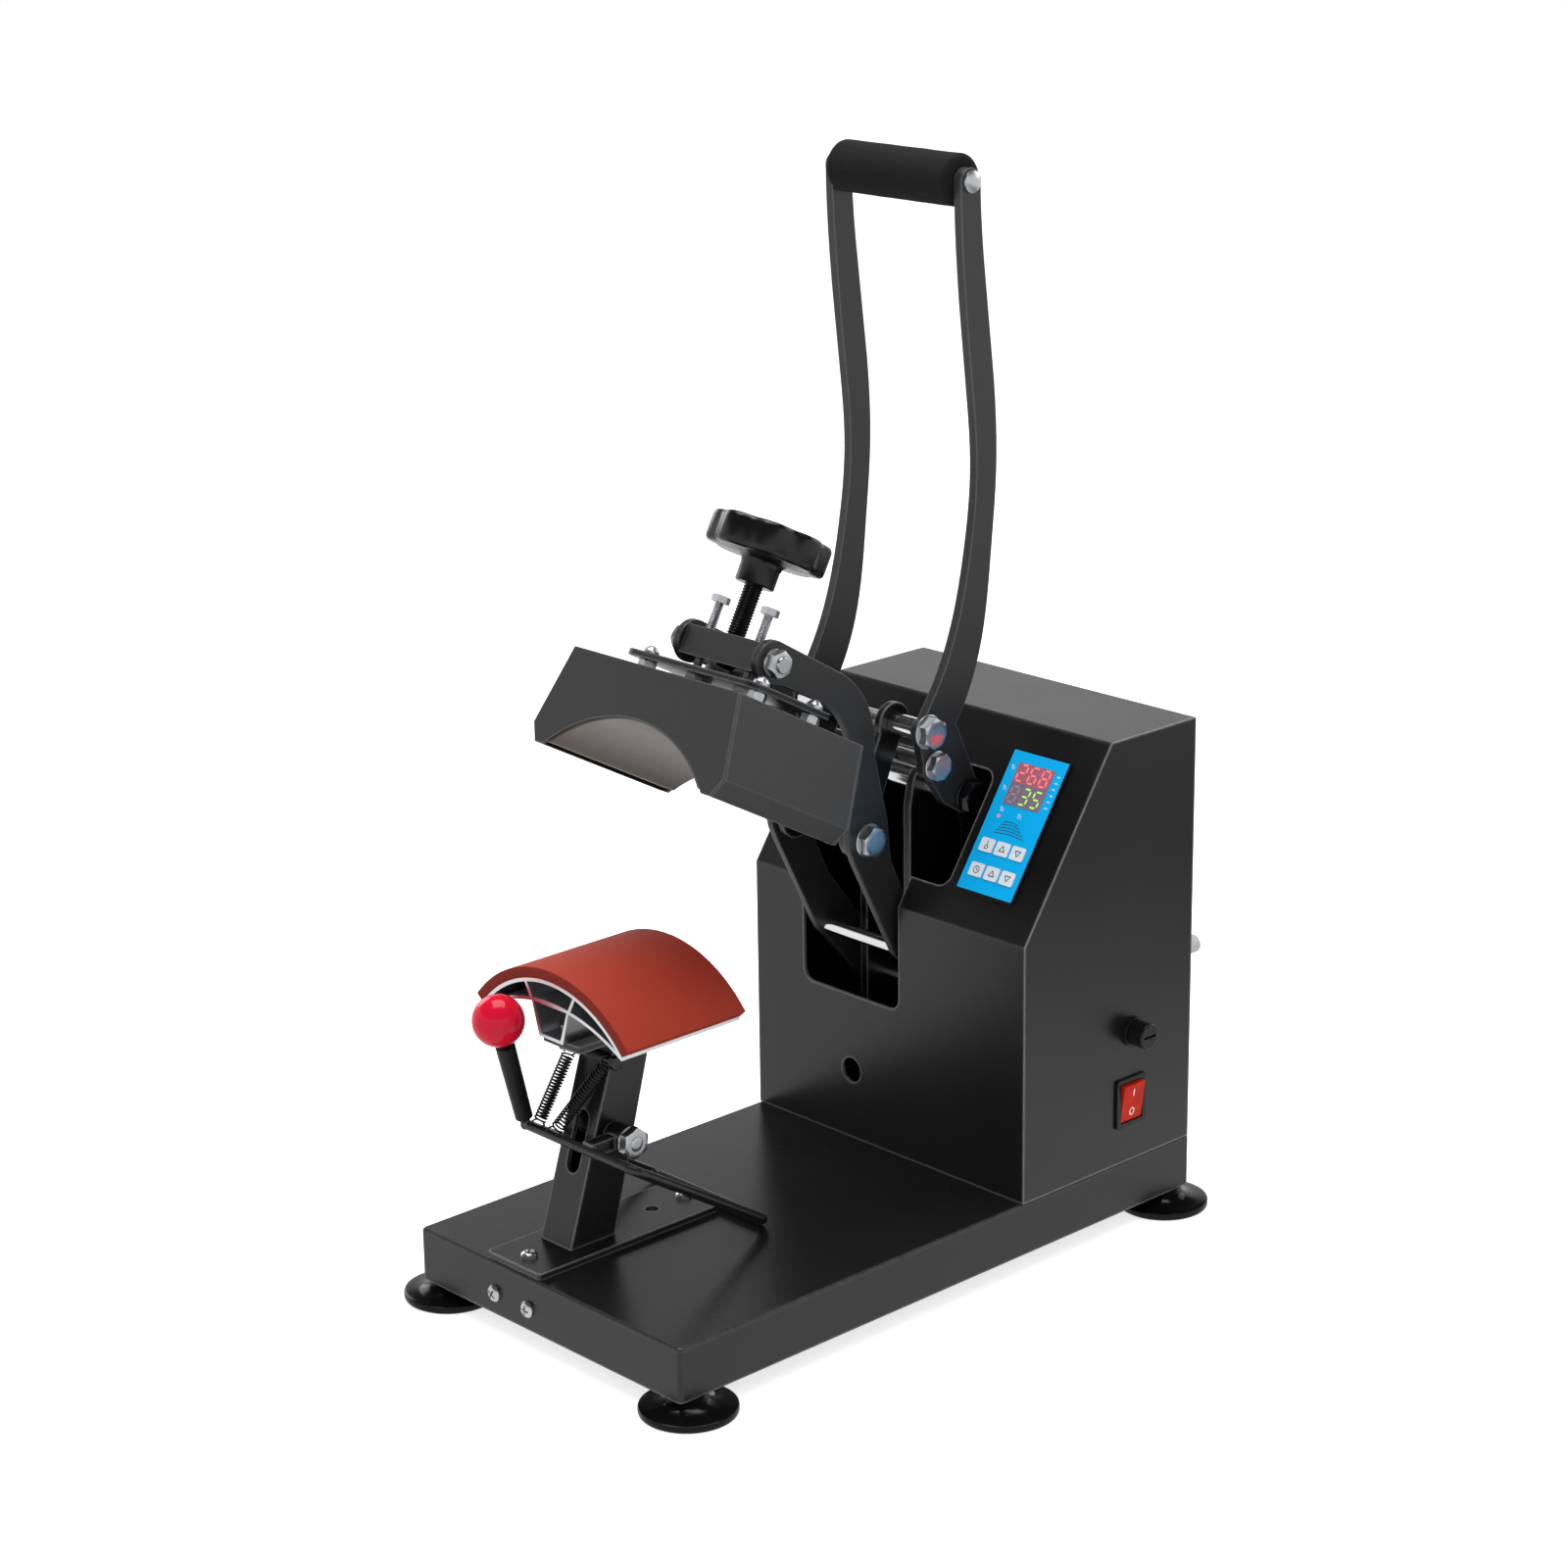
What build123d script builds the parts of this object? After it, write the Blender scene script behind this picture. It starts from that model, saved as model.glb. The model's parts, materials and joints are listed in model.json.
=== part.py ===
from build123d import *
import os
from math import asin, atan2, cos, degrees, hypot, radians, sin, sqrt, tan

os.makedirs("parts", exist_ok=True)

# A cap heat press. X runs to the right, Y to the back, Z up, in millimetres.
# The origin is on the floor under the middle of the base.

# ---------------------------------------------------------------- driving dimensions
# Clearances
running_fit = 0.05      # radial play of a pin in its bore
moving_gap = 0.3        # between a moving piece and its neighbour
side_gap = 2.0          # between the layers of the linkage

# Folded sheet
sheet = 2.0
bend_r = 2.0

# Base
base_width = 230.0
base_depth = 426.0
base_height = 33.0
base_flange = 24.0
base_corner_r = 3.0
stiffener_thickness = 2.5
stiffener_length = 180.0
stiffener_leg = 18.0

# Feet
foot_height = 12.0
foot_r = 28.5
foot_rim_height = 4.5
foot_neck_r = 11.0
foot_recess_r = 9.0
foot_web = 5.5
foot_inset_x = 9.5
foot_inset_y = 14.0
foot_stud_r = 4.0
foot_nut_flats = 13.0
foot_nut_height = 6.5

# Pan-head screws of the base, the stand plate and the rear cover
screw_r = 2.5
screw_head_r = 5.0
screw_head_height = 3.2
screw_nut_flats = 8.0
screw_nut_height = 4.0
front_screw_spacing = 30.0
front_screw_height = 25.5

# Middle plane of the stand, the platens and the linkage
mech_x = -31.0

# Stand
stand_plate_width = 48.0
stand_plate_length = 139.0
stand_plate_thickness = 4.0
stand_plate_inset = 2.0
stand_screw_inset = 12.2
stand_screw_spacing = 119.3
stand_hole_inset = 106.4
stand_hole_r = 4.0
post_width = 27.0
post_shift = -1.5
post_foot_inset = 35.5
post_foot_depth = 33.4
post_top_depth = 28.1
post_lean = 17.6
post_wall = 3.0
post_slot_length = 38.0
post_slot_width = 11.0
post_slot_up = 62.3

# Lower platen and its silicone pad
platen_inset = 36.0
platen_length = 90.0
platen_centre_height = 85.6     # arc centre above the base top
platen_r = 81.3
platen_skin = 2.2
platen_half_chord = 61.4
belly_r = 121.0
belly_drop = 14.3               # belly apex below the outer apex
belly_skin = 2.0
rib_thickness = 2.0
rib_length = 30.0
rib_lift = 5.0
rib_x = 19.0
rib_lean = 28.6
channel_top_half = 16.5
channel_bottom_half = 10.5
channel_wall = 2.0
channel_depth = 21.2
channel_overlap = 0.1
channel_drop = 0.8
pad_thickness = 6.6
pad_half_angle = 49.6
top_plate_thickness = 4.5
top_plate_left = 13.0
top_plate_right = 20.0
top_plate_front = 4.0
top_plate_length = 85.0
top_plate_corner_r = 2.0
platen_bolt_r = 3.0
platen_bolt_flats = 10.0
platen_bolt_head = 4.0
platen_bolt_inset = 15.0
platen_bolt_spacing = 65.0

# Hold-down lever
lever_pivot_inset = 70.0        # behind the front of the base
lever_pivot_above_base = 67.0
lever_wire_r = 3.0
lever_front_reach = 25.5
lever_plate_gap = 1.5           # from the stand plate to the rear rod
lever_left = -71.5
lever_right = 29.5
lever_bend_r = 7.0
lever_hub_r = 8.5
lever_hub_length = 14.0
lever_bolt_r = 5.0
lever_lug = 8.0
lever_rear_clearance = 0.5
ball_r = 15.5
ball_x = -61.5
ball_inset = 22.5
ball_above_base = 138.9
ball_socket = 9.0
sleeve_r = 5.3
sleeve_top_r = 5.9
sleeve_start = 6.0
sleeve_length = 52.0
spring_pin_r = 2.5
spring_pin_inset = 66.0
spring_pin_overhang = 7.0
spring_top_inset = 4.0
spring_pin_above_base = 115.0
spring_r = 3.5
spring_wire = 0.8
spring_hook = 7.0
spring_bottoms = (-58.0, -44.0)

# Console
console_front = 61.5
console_back = 211.0
console_wall_height = 162.2
console_height = 271.4
console_slant = 74.1
console_flange = 12.0
console_hole_r = 8.0
console_hole_above_base = 45.0
notch_left = -72.4
notch_right = 10.5
notch_above_base = 95.0
notch_corner_r = 8.0
slot_left = -102.0
slot_right = 40.0
slot_low = 20.5
slot_high = 96.4
rear_cover_thickness = 1.5
rear_screw_rows = 3
rear_screw_inset = 20.0
console_screw_inset = 25.0
vent_length = 36.0
vent_width = 4.0
vent_pitch = 10.0
vent_rows = 6
vent_x = 45.0
vent_drop = 60.0

# Controller on the slanted face
controller_inset = 44.15
controller_width = 46.3
controller_low = 21.9
controller_length = 91.8
controller_bezel = 1.1
controller_rise = 2.0
controller_body_depth = 55.0
controller_body_inset = 1.6
film_thickness = 0.6
window_width = 29.0
window_height = 27.0
window_up = 92.5
window_rise = 0.2
key_width = 10.6
key_height = 8.6
key_rise = 0.5
key_travel = 0.4
key_pitch = 12.4
key_rows = (52.0, 36.0)
key_play = 0.15

# Rocker switch and fuse on the right wall
rocker_y = 156.0
rocker_above_base = 39.4
rocker_frame_width = 26.4
rocker_frame_height = 31.7
rocker_frame_rise = 2.0
rocker_body_width = 22.0
rocker_body_height = 28.0
rocker_body_depth = 26.0
rocker_width = 18.4
rocker_height = 24.0
rocker_gap = 0.6
rocker_low_side = 1.2
rocker_high_side = 5.4
rocker_depth = 3.0
fuse_y = 158.0
fuse_above_base = 84.0
fuse_flange_r = 9.5
fuse_flange = 2.5
fuse_body_r = 7.0
fuse_body_length = 34.0
fuse_bore_r = 4.6
fuse_cap_r = 8.0
fuse_cap_length = 11.0
fuse_stub_r = 4.3
fuse_stub_length = 14.0
fuse_slot_width = 1.6

# Inside and behind the console
relay_width = 45.0
relay_length = 50.0
relay_height = 24.0
relay_flange_gap = 2.5
relay_back_gap = 17.0
relay_hole_r = 3.5
relay_hole_depth = 6.0
relay_hole_inset = 6.0
gland_inset = 12.0
gland_below_screw = 15.7
gland_nut_height = 6.0
gland_inner_length = 12.0
gland_flats = 13.0
gland_length = 14.8
gland_bore_r = 3.0
gland_thread_r = 4.5

# Linkage pivots with the press open: forward of or behind the base centre, and above the base top
arm_pivot = (115.4, 90.9)
handle_pivot = (106.4, 226.1)
crank_pivot = (72.0, 273.4)
cross_pivot = (78.6, 251.0)
link_pivot = (41.6, 208.3)

# Linkage layers, measured outward from the middle plane
pivot_plate_inner = 16.0
pivot_plate_thickness = 6.0
link_thickness = 5.0
arm_thickness = 5.0
bar_inner = 50.0
bar_thickness = 6.0
pin_r = 5.0
arm_shaft_r = 6.0
cross_shaft_r = 5.5
tube_r = 6.5
bolt_flats = 17.0
bolt_head = 6.5
washer_r = 10.5
washer_thickness = 1.6

# Pivot plates
pivot_plate_front = 92.0
pivot_plate_back = 137.0
pivot_plate_lobe_r = 12.0
pivot_chamfer = 12.0
pivot_foot = 20.0
pivot_foot_thickness = 5.0
pivot_bolt_r = 3.0
pivot_bolt_inset = 10.0
pivot_nut_height = 5.0
pivot_bolt_flats = 10.0

# Link plates
link_end_r = 12.5
link_half_width = 9.0

# Upper platen, in its own tilted frame
cover_front_y = -91.5
cover_above_base = 334.6
cover_tilt = 28.45
cover_length = 110.0
cover_top_half = 70.6
cover_wide_half = 82.2
cover_low_half = 75.7
cover_wide_drop = 49.1
cover_height = 60.2
cover_arch_r = 95.0
cover_arch_drop = 31.0
block_r = 89.0
block_drop = 31.9
block_thickness = 8.0
block_lift = 2.2
element_thickness = 1.5
element_half_angle = 34.0
wool_half = 56.0
mount_plate_left = -64.0
mount_plate_right = 52.0
mount_plate_front = 30.0
mount_plate_length = 70.0
mount_plate_thickness = 4.0
mount_plate_lift = 7.0
standoff_left = -52.0
standoff_right = 43.0
standoff_front = 42.0
standoff_spacing = 47.0
standoff_r = 3.0
standoff_flats = 10.0
dome_nut_r = 5.0
dome_nut_height = 5.5

# Arm plates: points along and above the cover, then outlines round the link and arm pivots
arm_ear_r = 13.0
arm_boss_r = 15.0
arm_brow = (104.0, 37.5)
arm_crown = (139.5, 26.0)
arm_shoulder = (157.5, 2.5)
arm_throat = (122.0, 11.5)
arm_chin = (106.0, 16.5)
arm_neck = 67.0
arm_back_ys = (11.0, 17.0, 20.0, 32.0)
arm_back_zs = (34.0, 10.0, -18.0, -44.0)
arm_front_ys = (23.0, -11.0, -15.0, -16.5)
arm_front_zs = (-79.0, -12.0, 0.0, 40.0)
arm_heel_back = 7.0
arm_heel_front = 5.0
arm_heel_high = 12.0
arm_heel_low = 14.0
arm_toe = (44.0, 32.0)
arm_spacer_place = (71.8, 131.1)
arm_spacer_r = 4.5
ear_thread_end = 1.5

# Crossbar and pressure screw
screw_axis = 52.0
crossbar_half = 31.0
crossbar_depth = 19.0
crossbar_low = 17.3
crossbar_height = 17.9
crossbar_bolt_up = 26.5
crossbar_bolt_in = 5.0
pressure_r = 6.0
collar_r = 11.0
collar_height = 4.0
hub_r = 12.0
hub_low = 67.0
knob_low = 83.0
knob_height = 18.0
knob_r = 36.5
knob_lobes = 8
knob_scallop_r = 16.0
knob_scallop_depth = 3.4
knob_edge_r = 3.0
guide_x = 21.0
guide_y = 51.0
guide_r = 3.0
guide_top = 52.0
guide_flats = 10.0
guide_head = 4.5

# Handle
grip_point = (108.9, 594.4)
bar_top_half = 8.0
bar_bend_heights = (324.0, 376.0, 423.0, 482.0, 552.0)      # above the base top
bar_front_bends = (94.8, 108.9, 114.3, 109.6, 102.6)
bar_back_bends = (119.6, 127.0, 131.0, 128.2, 119.6)
bar_crank_r = 8.0
bar_cross_r = 10.0
bar_foot_r = 11.0
grip_screw_r = 4.0
grip_end_gap = 1.0
grip_edge_r = 2.0
grip_rod_r = 6.0
grip_r = 15.5
grip_screw_head_r = 6.5
grip_screw_head = 3.6

# ---------------------------------------------------------------- values worked out
base_top = foot_height + base_height
front_y = -base_depth / 2
foot_x = base_width / 2 - foot_inset_x
foot_y = base_depth / 2 - foot_inset_y
right_wall = base_width / 2
controller_x = right_wall - controller_inset

console_top = base_top + console_height
console_bend = base_top + console_wall_height
slant_angle = degrees(atan2(console_height - console_wall_height, console_slant))
slant_length = hypot(console_height - console_wall_height, console_slant)

platen_front = front_y + platen_inset
platen_centre = base_top + platen_centre_height
pad_r = platen_r + pad_thickness
belly_apex = platen_centre + platen_r - belly_drop
belly_centre = belly_apex - belly_r
channel_bottom = belly_apex - channel_depth
top_plate_low = channel_bottom - top_plate_thickness
post_x = mech_x + post_shift
post_right = post_x + post_width / 2
plate_front = front_y + stand_plate_inset
plate_top = base_top + stand_plate_thickness
plate_back = plate_front + stand_plate_length
lever_pivot_y = front_y + lever_pivot_inset
lever_rear_reach = plate_back + lever_plate_gap + lever_wire_r - lever_pivot_y
relay_x = -right_wall + sheet + console_flange + relay_flange_gap + relay_width / 2
relay_y = console_back - relay_back_gap - relay_length / 2
gland_x = right_wall - gland_inset

link_inner = pivot_plate_inner + pivot_plate_thickness + side_gap
arm_inner = link_inner + link_thickness + side_gap
arm_outer = arm_inner + arm_thickness
bar_outer = bar_inner + bar_thickness


def row(point):
    """A linkage point (y, height above the base top) as (y, z)."""
    return (point[0], point[1] + base_top)


O = row(arm_pivot)
C = row(handle_pivot)
A = row(crank_pivot)
B = row(cross_pivot)
D = row(link_pivot)
G = row(grip_point)


def across(x, point):
    """A plane across the machine at x, with its origin at the (y, z) point."""
    return Plane(origin=(x, point[0], point[1]), x_dir=(0, 1, 0), z_dir=(1, 0, 0))


def outward(side, distance, point):
    """A plane that faces away from the middle plane, at a distance from it."""
    origin = (mech_x + side * distance, point[0], point[1])
    return Plane(origin=origin, x_dir=(0, 1, 0), z_dir=(side, 0, 0))


def layer(side, distance, thickness):
    """A plane from which a plate, extruded towards +X, fills one layer of the linkage."""
    start = distance if side > 0 else -distance - thickness
    return Plane(origin=(mech_x + start, 0, 0), x_dir=(0, 1, 0), z_dir=(1, 0, 0))


def standing(x, y, z):
    """A level plane at the point."""
    return Plane(origin=(x, y, z), x_dir=(1, 0, 0), z_dir=(0, 0, 1))


def face(*points):
    """Adds the closed polygon to the open sketch."""
    with BuildLine() as border:
        Polyline(*points, close=True)
    make_face(border.edges())


def rod(plane, radius, start, length):
    """Adds a round bar along the plane's normal."""
    with BuildSketch(plane.offset(start)) as disc:
        Circle(radius)
    extrude(disc.sketch, amount=length)


def bore(plane, radius, start, length):
    """Cuts a round hole along the plane's normal."""
    with BuildSketch(plane.offset(start)) as disc:
        Circle(radius)
    extrude(disc.sketch, amount=length, mode=Mode.SUBTRACT)


def tube(plane, outer_r, inner_r, start, length):
    """Adds a round tube along the plane's normal."""
    with BuildSketch(plane.offset(start)) as ring:
        Circle(outer_r)
        Circle(inner_r, mode=Mode.SUBTRACT)
    extrude(ring.sketch, amount=length)


def hexagon(plane, flats, start, length):
    """Adds a hexagonal prism along the plane's normal."""
    with BuildSketch(plane.offset(start)) as prism:
        RegularPolygon(radius=flats / 2, side_count=6, major_radius=False)
    extrude(prism.sketch, amount=length)


def pan_screw(seat, shank_length):
    """Adds a pan-head screw with a cross recess, its head on the seat plane."""
    side_plane = Plane(origin=seat.origin, x_dir=seat.x_dir, z_dir=-seat.y_dir)
    rim = 0.35 * screw_head_height
    dome = screw_head_height - rim
    dome_r = (screw_head_r**2 + dome**2) / (2 * dome)
    half_angle = asin(screw_head_r / dome_r) / 2
    dome_middle = (dome_r * sin(half_angle), screw_head_height - dome_r + dome_r * cos(half_angle))
    with BuildSketch(side_plane) as half:
        with BuildLine():
            Polyline(
                (0, screw_head_height),
                (0, -shank_length),
                (screw_r, -shank_length),
                (screw_r, 0),
                (screw_head_r, 0),
                (screw_head_r, rim),
            )
            ThreePointArc((screw_head_r, rim), dome_middle, (0, screw_head_height))
        make_face()
    revolve(half.sketch, axis=Axis(seat.origin, seat.z_dir))
    with BuildSketch(seat.offset(screw_head_height)) as cross:
        Rectangle(1.1 * screw_head_r, 0.24 * screw_head_r)
        Rectangle(0.24 * screw_head_r, 1.1 * screw_head_r)
    extrude(cross.sketch, amount=-0.55 * screw_head_height, mode=Mode.SUBTRACT)


def pin_with_heads(point, radius, half_length, flats, head, washer):
    """Adds a pin across the linkage with a washer and a hexagon at each end."""
    rod(outward(1, 0, point), radius, -half_length, 2 * half_length)
    for side in (-1, 1):
        end = outward(side, half_length, point)
        rod(end, washer, 0, washer_thickness)
        hexagon(end, flats, washer_thickness, head)


# ---------------------------------------------------------------- base
front_screws = [mech_x + side * front_screw_spacing / 2 for side in (-1, 1)]
stand_screws = [plate_front + stand_screw_inset + step * stand_screw_spacing for step in (0, 1)]
stand_hole_y = plate_front + stand_hole_inset
pivot_bolt_x = pivot_plate_inner + pivot_plate_thickness + pivot_foot / 2
pivot_bolt_ys = [pivot_plate_front + pivot_bolt_inset, pivot_plate_back - pivot_bolt_inset]
console_screw_ys = [console_front + console_screw_inset, console_back - console_screw_inset]
console_screw_x = right_wall - sheet - console_flange / 2
gland_z = base_top + console_height / 2 - gland_below_screw

with BuildPart() as base_shell:
    with BuildSketch(Plane.XY.offset(foot_height)):
        Rectangle(base_width, base_depth)
    extrude(amount=base_height)
    fillet(base_shell.edges().filter_by(Axis.Z), base_corner_r)
    fillet(base_shell.faces().sort_by(Axis.Z)[-1].edges(), bend_r)
    with BuildSketch(Plane.XY.offset(foot_height + sheet)):
        Rectangle(base_width - 2 * sheet, base_depth - 2 * sheet)
    extrude(amount=base_height - 2 * sheet, mode=Mode.SUBTRACT)
    with BuildSketch(Plane.XY.offset(foot_height)):
        Rectangle(base_width - 2 * base_flange, base_depth - 2 * base_flange)
    extrude(amount=sheet, mode=Mode.SUBTRACT)
    with BuildSketch(Plane.XY.offset(foot_height)):
        with GridLocations(2 * foot_x, 2 * foot_y, 2, 2):
            Circle(foot_stud_r + moving_gap)
    extrude(amount=sheet, mode=Mode.SUBTRACT)
    with BuildSketch(Plane.XY.offset(base_top - sheet)):
        with Locations(*[(mech_x, y) for y in stand_screws]):
            Circle(screw_r + moving_gap)
        with Locations((mech_x, stand_hole_y)):
            Circle(stand_hole_r)
        with Locations(*[(mech_x + s * pivot_bolt_x, y) for s in (-1, 1) for y in pivot_bolt_ys]):
            Circle(pivot_bolt_r + moving_gap)
        with Locations(*[(s * console_screw_x, y) for s in (-1, 1) for y in console_screw_ys]):
            Circle(screw_r + moving_gap)
    extrude(amount=sheet, mode=Mode.SUBTRACT)
    with BuildSketch(Plane.XZ.offset(-front_y - sheet)):
        with Locations(*[(x, front_screw_height) for x in front_screws]):
            Circle(screw_r + moving_gap)
    extrude(amount=sheet, mode=Mode.SUBTRACT)
base_shell.part.label = "base_shell"
export_step(base_shell.part, "parts/base_shell.step")

with BuildPart() as base_stiffener:
    web_front = front_y + sheet
    with BuildSketch(Plane.YZ.offset(-stiffener_length / 2)):
        face(
            (web_front, foot_height + sheet),
            (web_front + stiffener_leg, foot_height + sheet),
            (web_front + stiffener_leg, foot_height + sheet + stiffener_thickness),
            (web_front + stiffener_thickness, foot_height + sheet + stiffener_thickness),
            (web_front + stiffener_thickness, base_top - 3 * sheet),
            (web_front, base_top - 3 * sheet),
        )
    extrude(amount=stiffener_length)
    with BuildSketch(Plane.XZ.offset(-web_front - stiffener_thickness)):
        with Locations(*[(x, front_screw_height) for x in front_screws]):
            Circle(screw_r + moving_gap)
    extrude(amount=stiffener_thickness, mode=Mode.SUBTRACT)
base_stiffener.part.label = "base_stiffener"
export_step(base_stiffener.part, "parts/base_stiffener.step")

foot_places = [(x, y) for x in (-foot_x, foot_x) for y in (-foot_y, foot_y)]
with BuildPart() as rubber_feet:
    for x, y in foot_places:
        with BuildSketch(Plane(origin=(x, y, 0), x_dir=(1, 0, 0), z_dir=(0, -1, 0))) as foot_half:
            with BuildLine():
                Polyline(
                    (foot_neck_r, foot_height),
                    (foot_stud_r + running_fit, foot_height),
                    (foot_stud_r + running_fit, foot_height - foot_web),
                    (foot_recess_r, foot_height - foot_web),
                    (foot_recess_r, 0),
                    (foot_r, 0),
                    (foot_r, foot_rim_height),
                )
                ThreePointArc(
                    (foot_r, foot_rim_height),
                    (0.6 * foot_r, 0.5 * foot_height),
                    (foot_neck_r, foot_height),
                )
            make_face()
        revolve(foot_half.sketch, axis=Axis((x, y, 0), (0, 0, 1)))
rubber_feet.part.label = "rubber_feet"
export_step(rubber_feet.part, "parts/rubber_feet.step")

foot_head = foot_height - foot_web - 1.5
with BuildPart() as foot_studs:
    for x, y in foot_places:
        hexagon(standing(x, y, 1.5), foot_nut_flats, 0, foot_head)
        rod(standing(x, y, 1.5 + foot_head), foot_stud_r, 0, foot_web + sheet + foot_nut_height + 2)
        hexagon(standing(x, y, foot_height + sheet), foot_nut_flats, 0, foot_nut_height)
foot_studs.part.label = "foot_studs"
export_step(foot_studs.part, "parts/foot_studs.step")

# ---------------------------------------------------------------- stand
lean = tan(radians(post_lean))
post_foot_front = front_y + post_foot_inset
post_height = top_plate_low - plate_top
post_top_front = post_foot_front + lean * post_height

with BuildPart() as stand_plate:
    with BuildSketch(Plane.XY.offset(base_top)):
        with Locations((mech_x, plate_front + stand_plate_length / 2)):
            RectangleRounded(stand_plate_width, stand_plate_length, 3)
        with Locations(*[(mech_x, y) for y in stand_screws]):
            Circle(screw_r + moving_gap, mode=Mode.SUBTRACT)
        with Locations((mech_x, stand_hole_y)):
            Circle(stand_hole_r, mode=Mode.SUBTRACT)
    extrude(amount=stand_plate_thickness)
stand_plate.part.label = "stand_plate"
export_step(stand_plate.part, "parts/stand_plate.step")

lever_pivot = (lever_pivot_y, base_top + lever_pivot_above_base)
spring_pin_point = (front_y + spring_pin_inset, base_top + spring_pin_above_base)
post_front_face = Plane(
    origin=(post_x, post_foot_front, plate_top),
    x_dir=(1, 0, 0),
    z_dir=(0, -cos(radians(post_lean)), sin(radians(post_lean))),
)
with BuildPart() as stand_post:
    with BuildSketch(Plane.YZ.offset(post_x - post_width / 2)):
        face(
            (post_foot_front, plate_top),
            (post_top_front, top_plate_low),
            (post_top_front + post_top_depth, top_plate_low),
            (post_foot_front + post_foot_depth, plate_top),
        )
    extrude(amount=post_width)
    with BuildSketch(Plane.YZ.offset(post_x - post_width / 2 + post_wall)):
        face(
            (post_foot_front + post_wall, plate_top),
            (post_top_front + post_wall, top_plate_low),
            (post_top_front + post_top_depth - post_wall, top_plate_low),
            (post_foot_front + post_foot_depth - post_wall, plate_top),
        )
    extrude(amount=post_width - 2 * post_wall, mode=Mode.SUBTRACT)
    with BuildSketch(post_front_face):
        with Locations((0, post_slot_up)):
            SlotOverall(post_slot_length, post_slot_width, rotation=90)
    extrude(amount=-1.5 * post_wall, mode=Mode.SUBTRACT)
    bore(across(post_x, lever_pivot), lever_bolt_r + running_fit, -post_width, 2 * post_width)
    bore(across(post_x, spring_pin_point), spring_pin_r + running_fit, -post_width, 2 * post_width)
stand_post.part.label = "stand_post"
export_step(stand_post.part, "parts/stand_post.step")

top_plate_x = mech_x + (top_plate_right - top_plate_left) / 2
top_plate_y = platen_front + top_plate_front + top_plate_length / 2
platen_bolt_ys = [platen_front + platen_bolt_inset + step * platen_bolt_spacing for step in (0, 1)]
with BuildPart() as stand_top_plate:
    with BuildSketch(Plane.XY.offset(top_plate_low)):
        with Locations((top_plate_x, top_plate_y)):
            RectangleRounded(top_plate_left + top_plate_right, top_plate_length, top_plate_corner_r)
        with Locations(*[(mech_x, y) for y in platen_bolt_ys]):
            Circle(platen_bolt_r + moving_gap, mode=Mode.SUBTRACT)
    extrude(amount=top_plate_thickness)
stand_top_plate.part.label = "stand_top_plate"
export_step(stand_top_plate.part, "parts/stand_top_plate.step")

# ---------------------------------------------------------------- lower platen
platen_plane = Plane(origin=(mech_x, platen_front, 0), x_dir=(1, 0, 0), z_dir=(0, -1, 0))
with BuildPart() as lower_platen:
    with BuildSketch(platen_plane):
        with Locations((0, platen_centre)):
            Circle(platen_r)
        with Locations((0, belly_centre)):
            Circle(belly_r, mode=Mode.SUBTRACT)
        with Locations((0, platen_centre)):
            Rectangle(2 * platen_half_chord, 2 * pad_r, mode=Mode.INTERSECT)
        face(
            (-channel_top_half, belly_apex - channel_overlap),
            (channel_top_half, belly_apex - channel_overlap),
            (channel_bottom_half, channel_bottom),
            (-channel_bottom_half, channel_bottom),
        )
    extrude(amount=-platen_length)
    with BuildSketch(platen_plane):
        with Locations((0, platen_centre)):
            Circle(platen_r - platen_skin)
        with Locations((0, belly_centre)):
            Circle(belly_r + belly_skin, mode=Mode.SUBTRACT)
        for side in (-1, 1):
            with Locations((side * rib_x, belly_apex + rib_lift)):
                Rectangle(rib_thickness, rib_length, rotation=-side * rib_lean, mode=Mode.SUBTRACT)
    extrude(amount=-platen_length, mode=Mode.SUBTRACT)
    with BuildSketch(platen_plane):
        face(
            (-channel_top_half + channel_wall, belly_apex - channel_drop),
            (channel_top_half - channel_wall, belly_apex - channel_drop),
            (channel_bottom_half - channel_wall, channel_bottom + channel_wall),
            (-channel_bottom_half + channel_wall, channel_bottom + channel_wall),
        )
    extrude(amount=-platen_length, mode=Mode.SUBTRACT)
    with BuildSketch(Plane.XY.offset(channel_bottom)):
        with Locations(*[(mech_x, y) for y in platen_bolt_ys]):
            Circle(platen_bolt_r + moving_gap)
    extrude(amount=channel_wall, mode=Mode.SUBTRACT)
lower_platen.part.label = "lower_platen"
export_step(lower_platen.part, "parts/lower_platen.step")

with BuildPart() as platen_pad:
    pad_half = radians(pad_half_angle)
    pad_cut = pad_r * 1.2
    with BuildSketch(platen_plane):
        with Locations((0, platen_centre)):
            Circle(pad_r)
            Circle(platen_r, mode=Mode.SUBTRACT)
        with BuildLine() as wedge:
            Polyline(
                (0, platen_centre),
                (-pad_cut * tan(pad_half), platen_centre + pad_cut),
                (pad_cut * tan(pad_half), platen_centre + pad_cut),
                close=True,
            )
        make_face(wedge.edges(), mode=Mode.INTERSECT)
    extrude(amount=-platen_length)
platen_pad.part.label = "platen_pad"
export_step(platen_pad.part, "parts/platen_pad.step")

with BuildPart() as platen_bolts:
    for y in platen_bolt_ys:
        inside = standing(mech_x, y, channel_bottom + channel_wall)
        hexagon(inside, platen_bolt_flats, 0, platen_bolt_head)
        grip_length = channel_wall + top_plate_thickness + platen_bolt_head + 2
        rod(inside, platen_bolt_r, -grip_length, grip_length)
        under = standing(mech_x, y, top_plate_low)
        hexagon(under, platen_bolt_flats, -platen_bolt_head, platen_bolt_head)
platen_bolts.part.label = "platen_bolts"
export_step(platen_bolts.part, "parts/platen_bolts.step")

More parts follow.
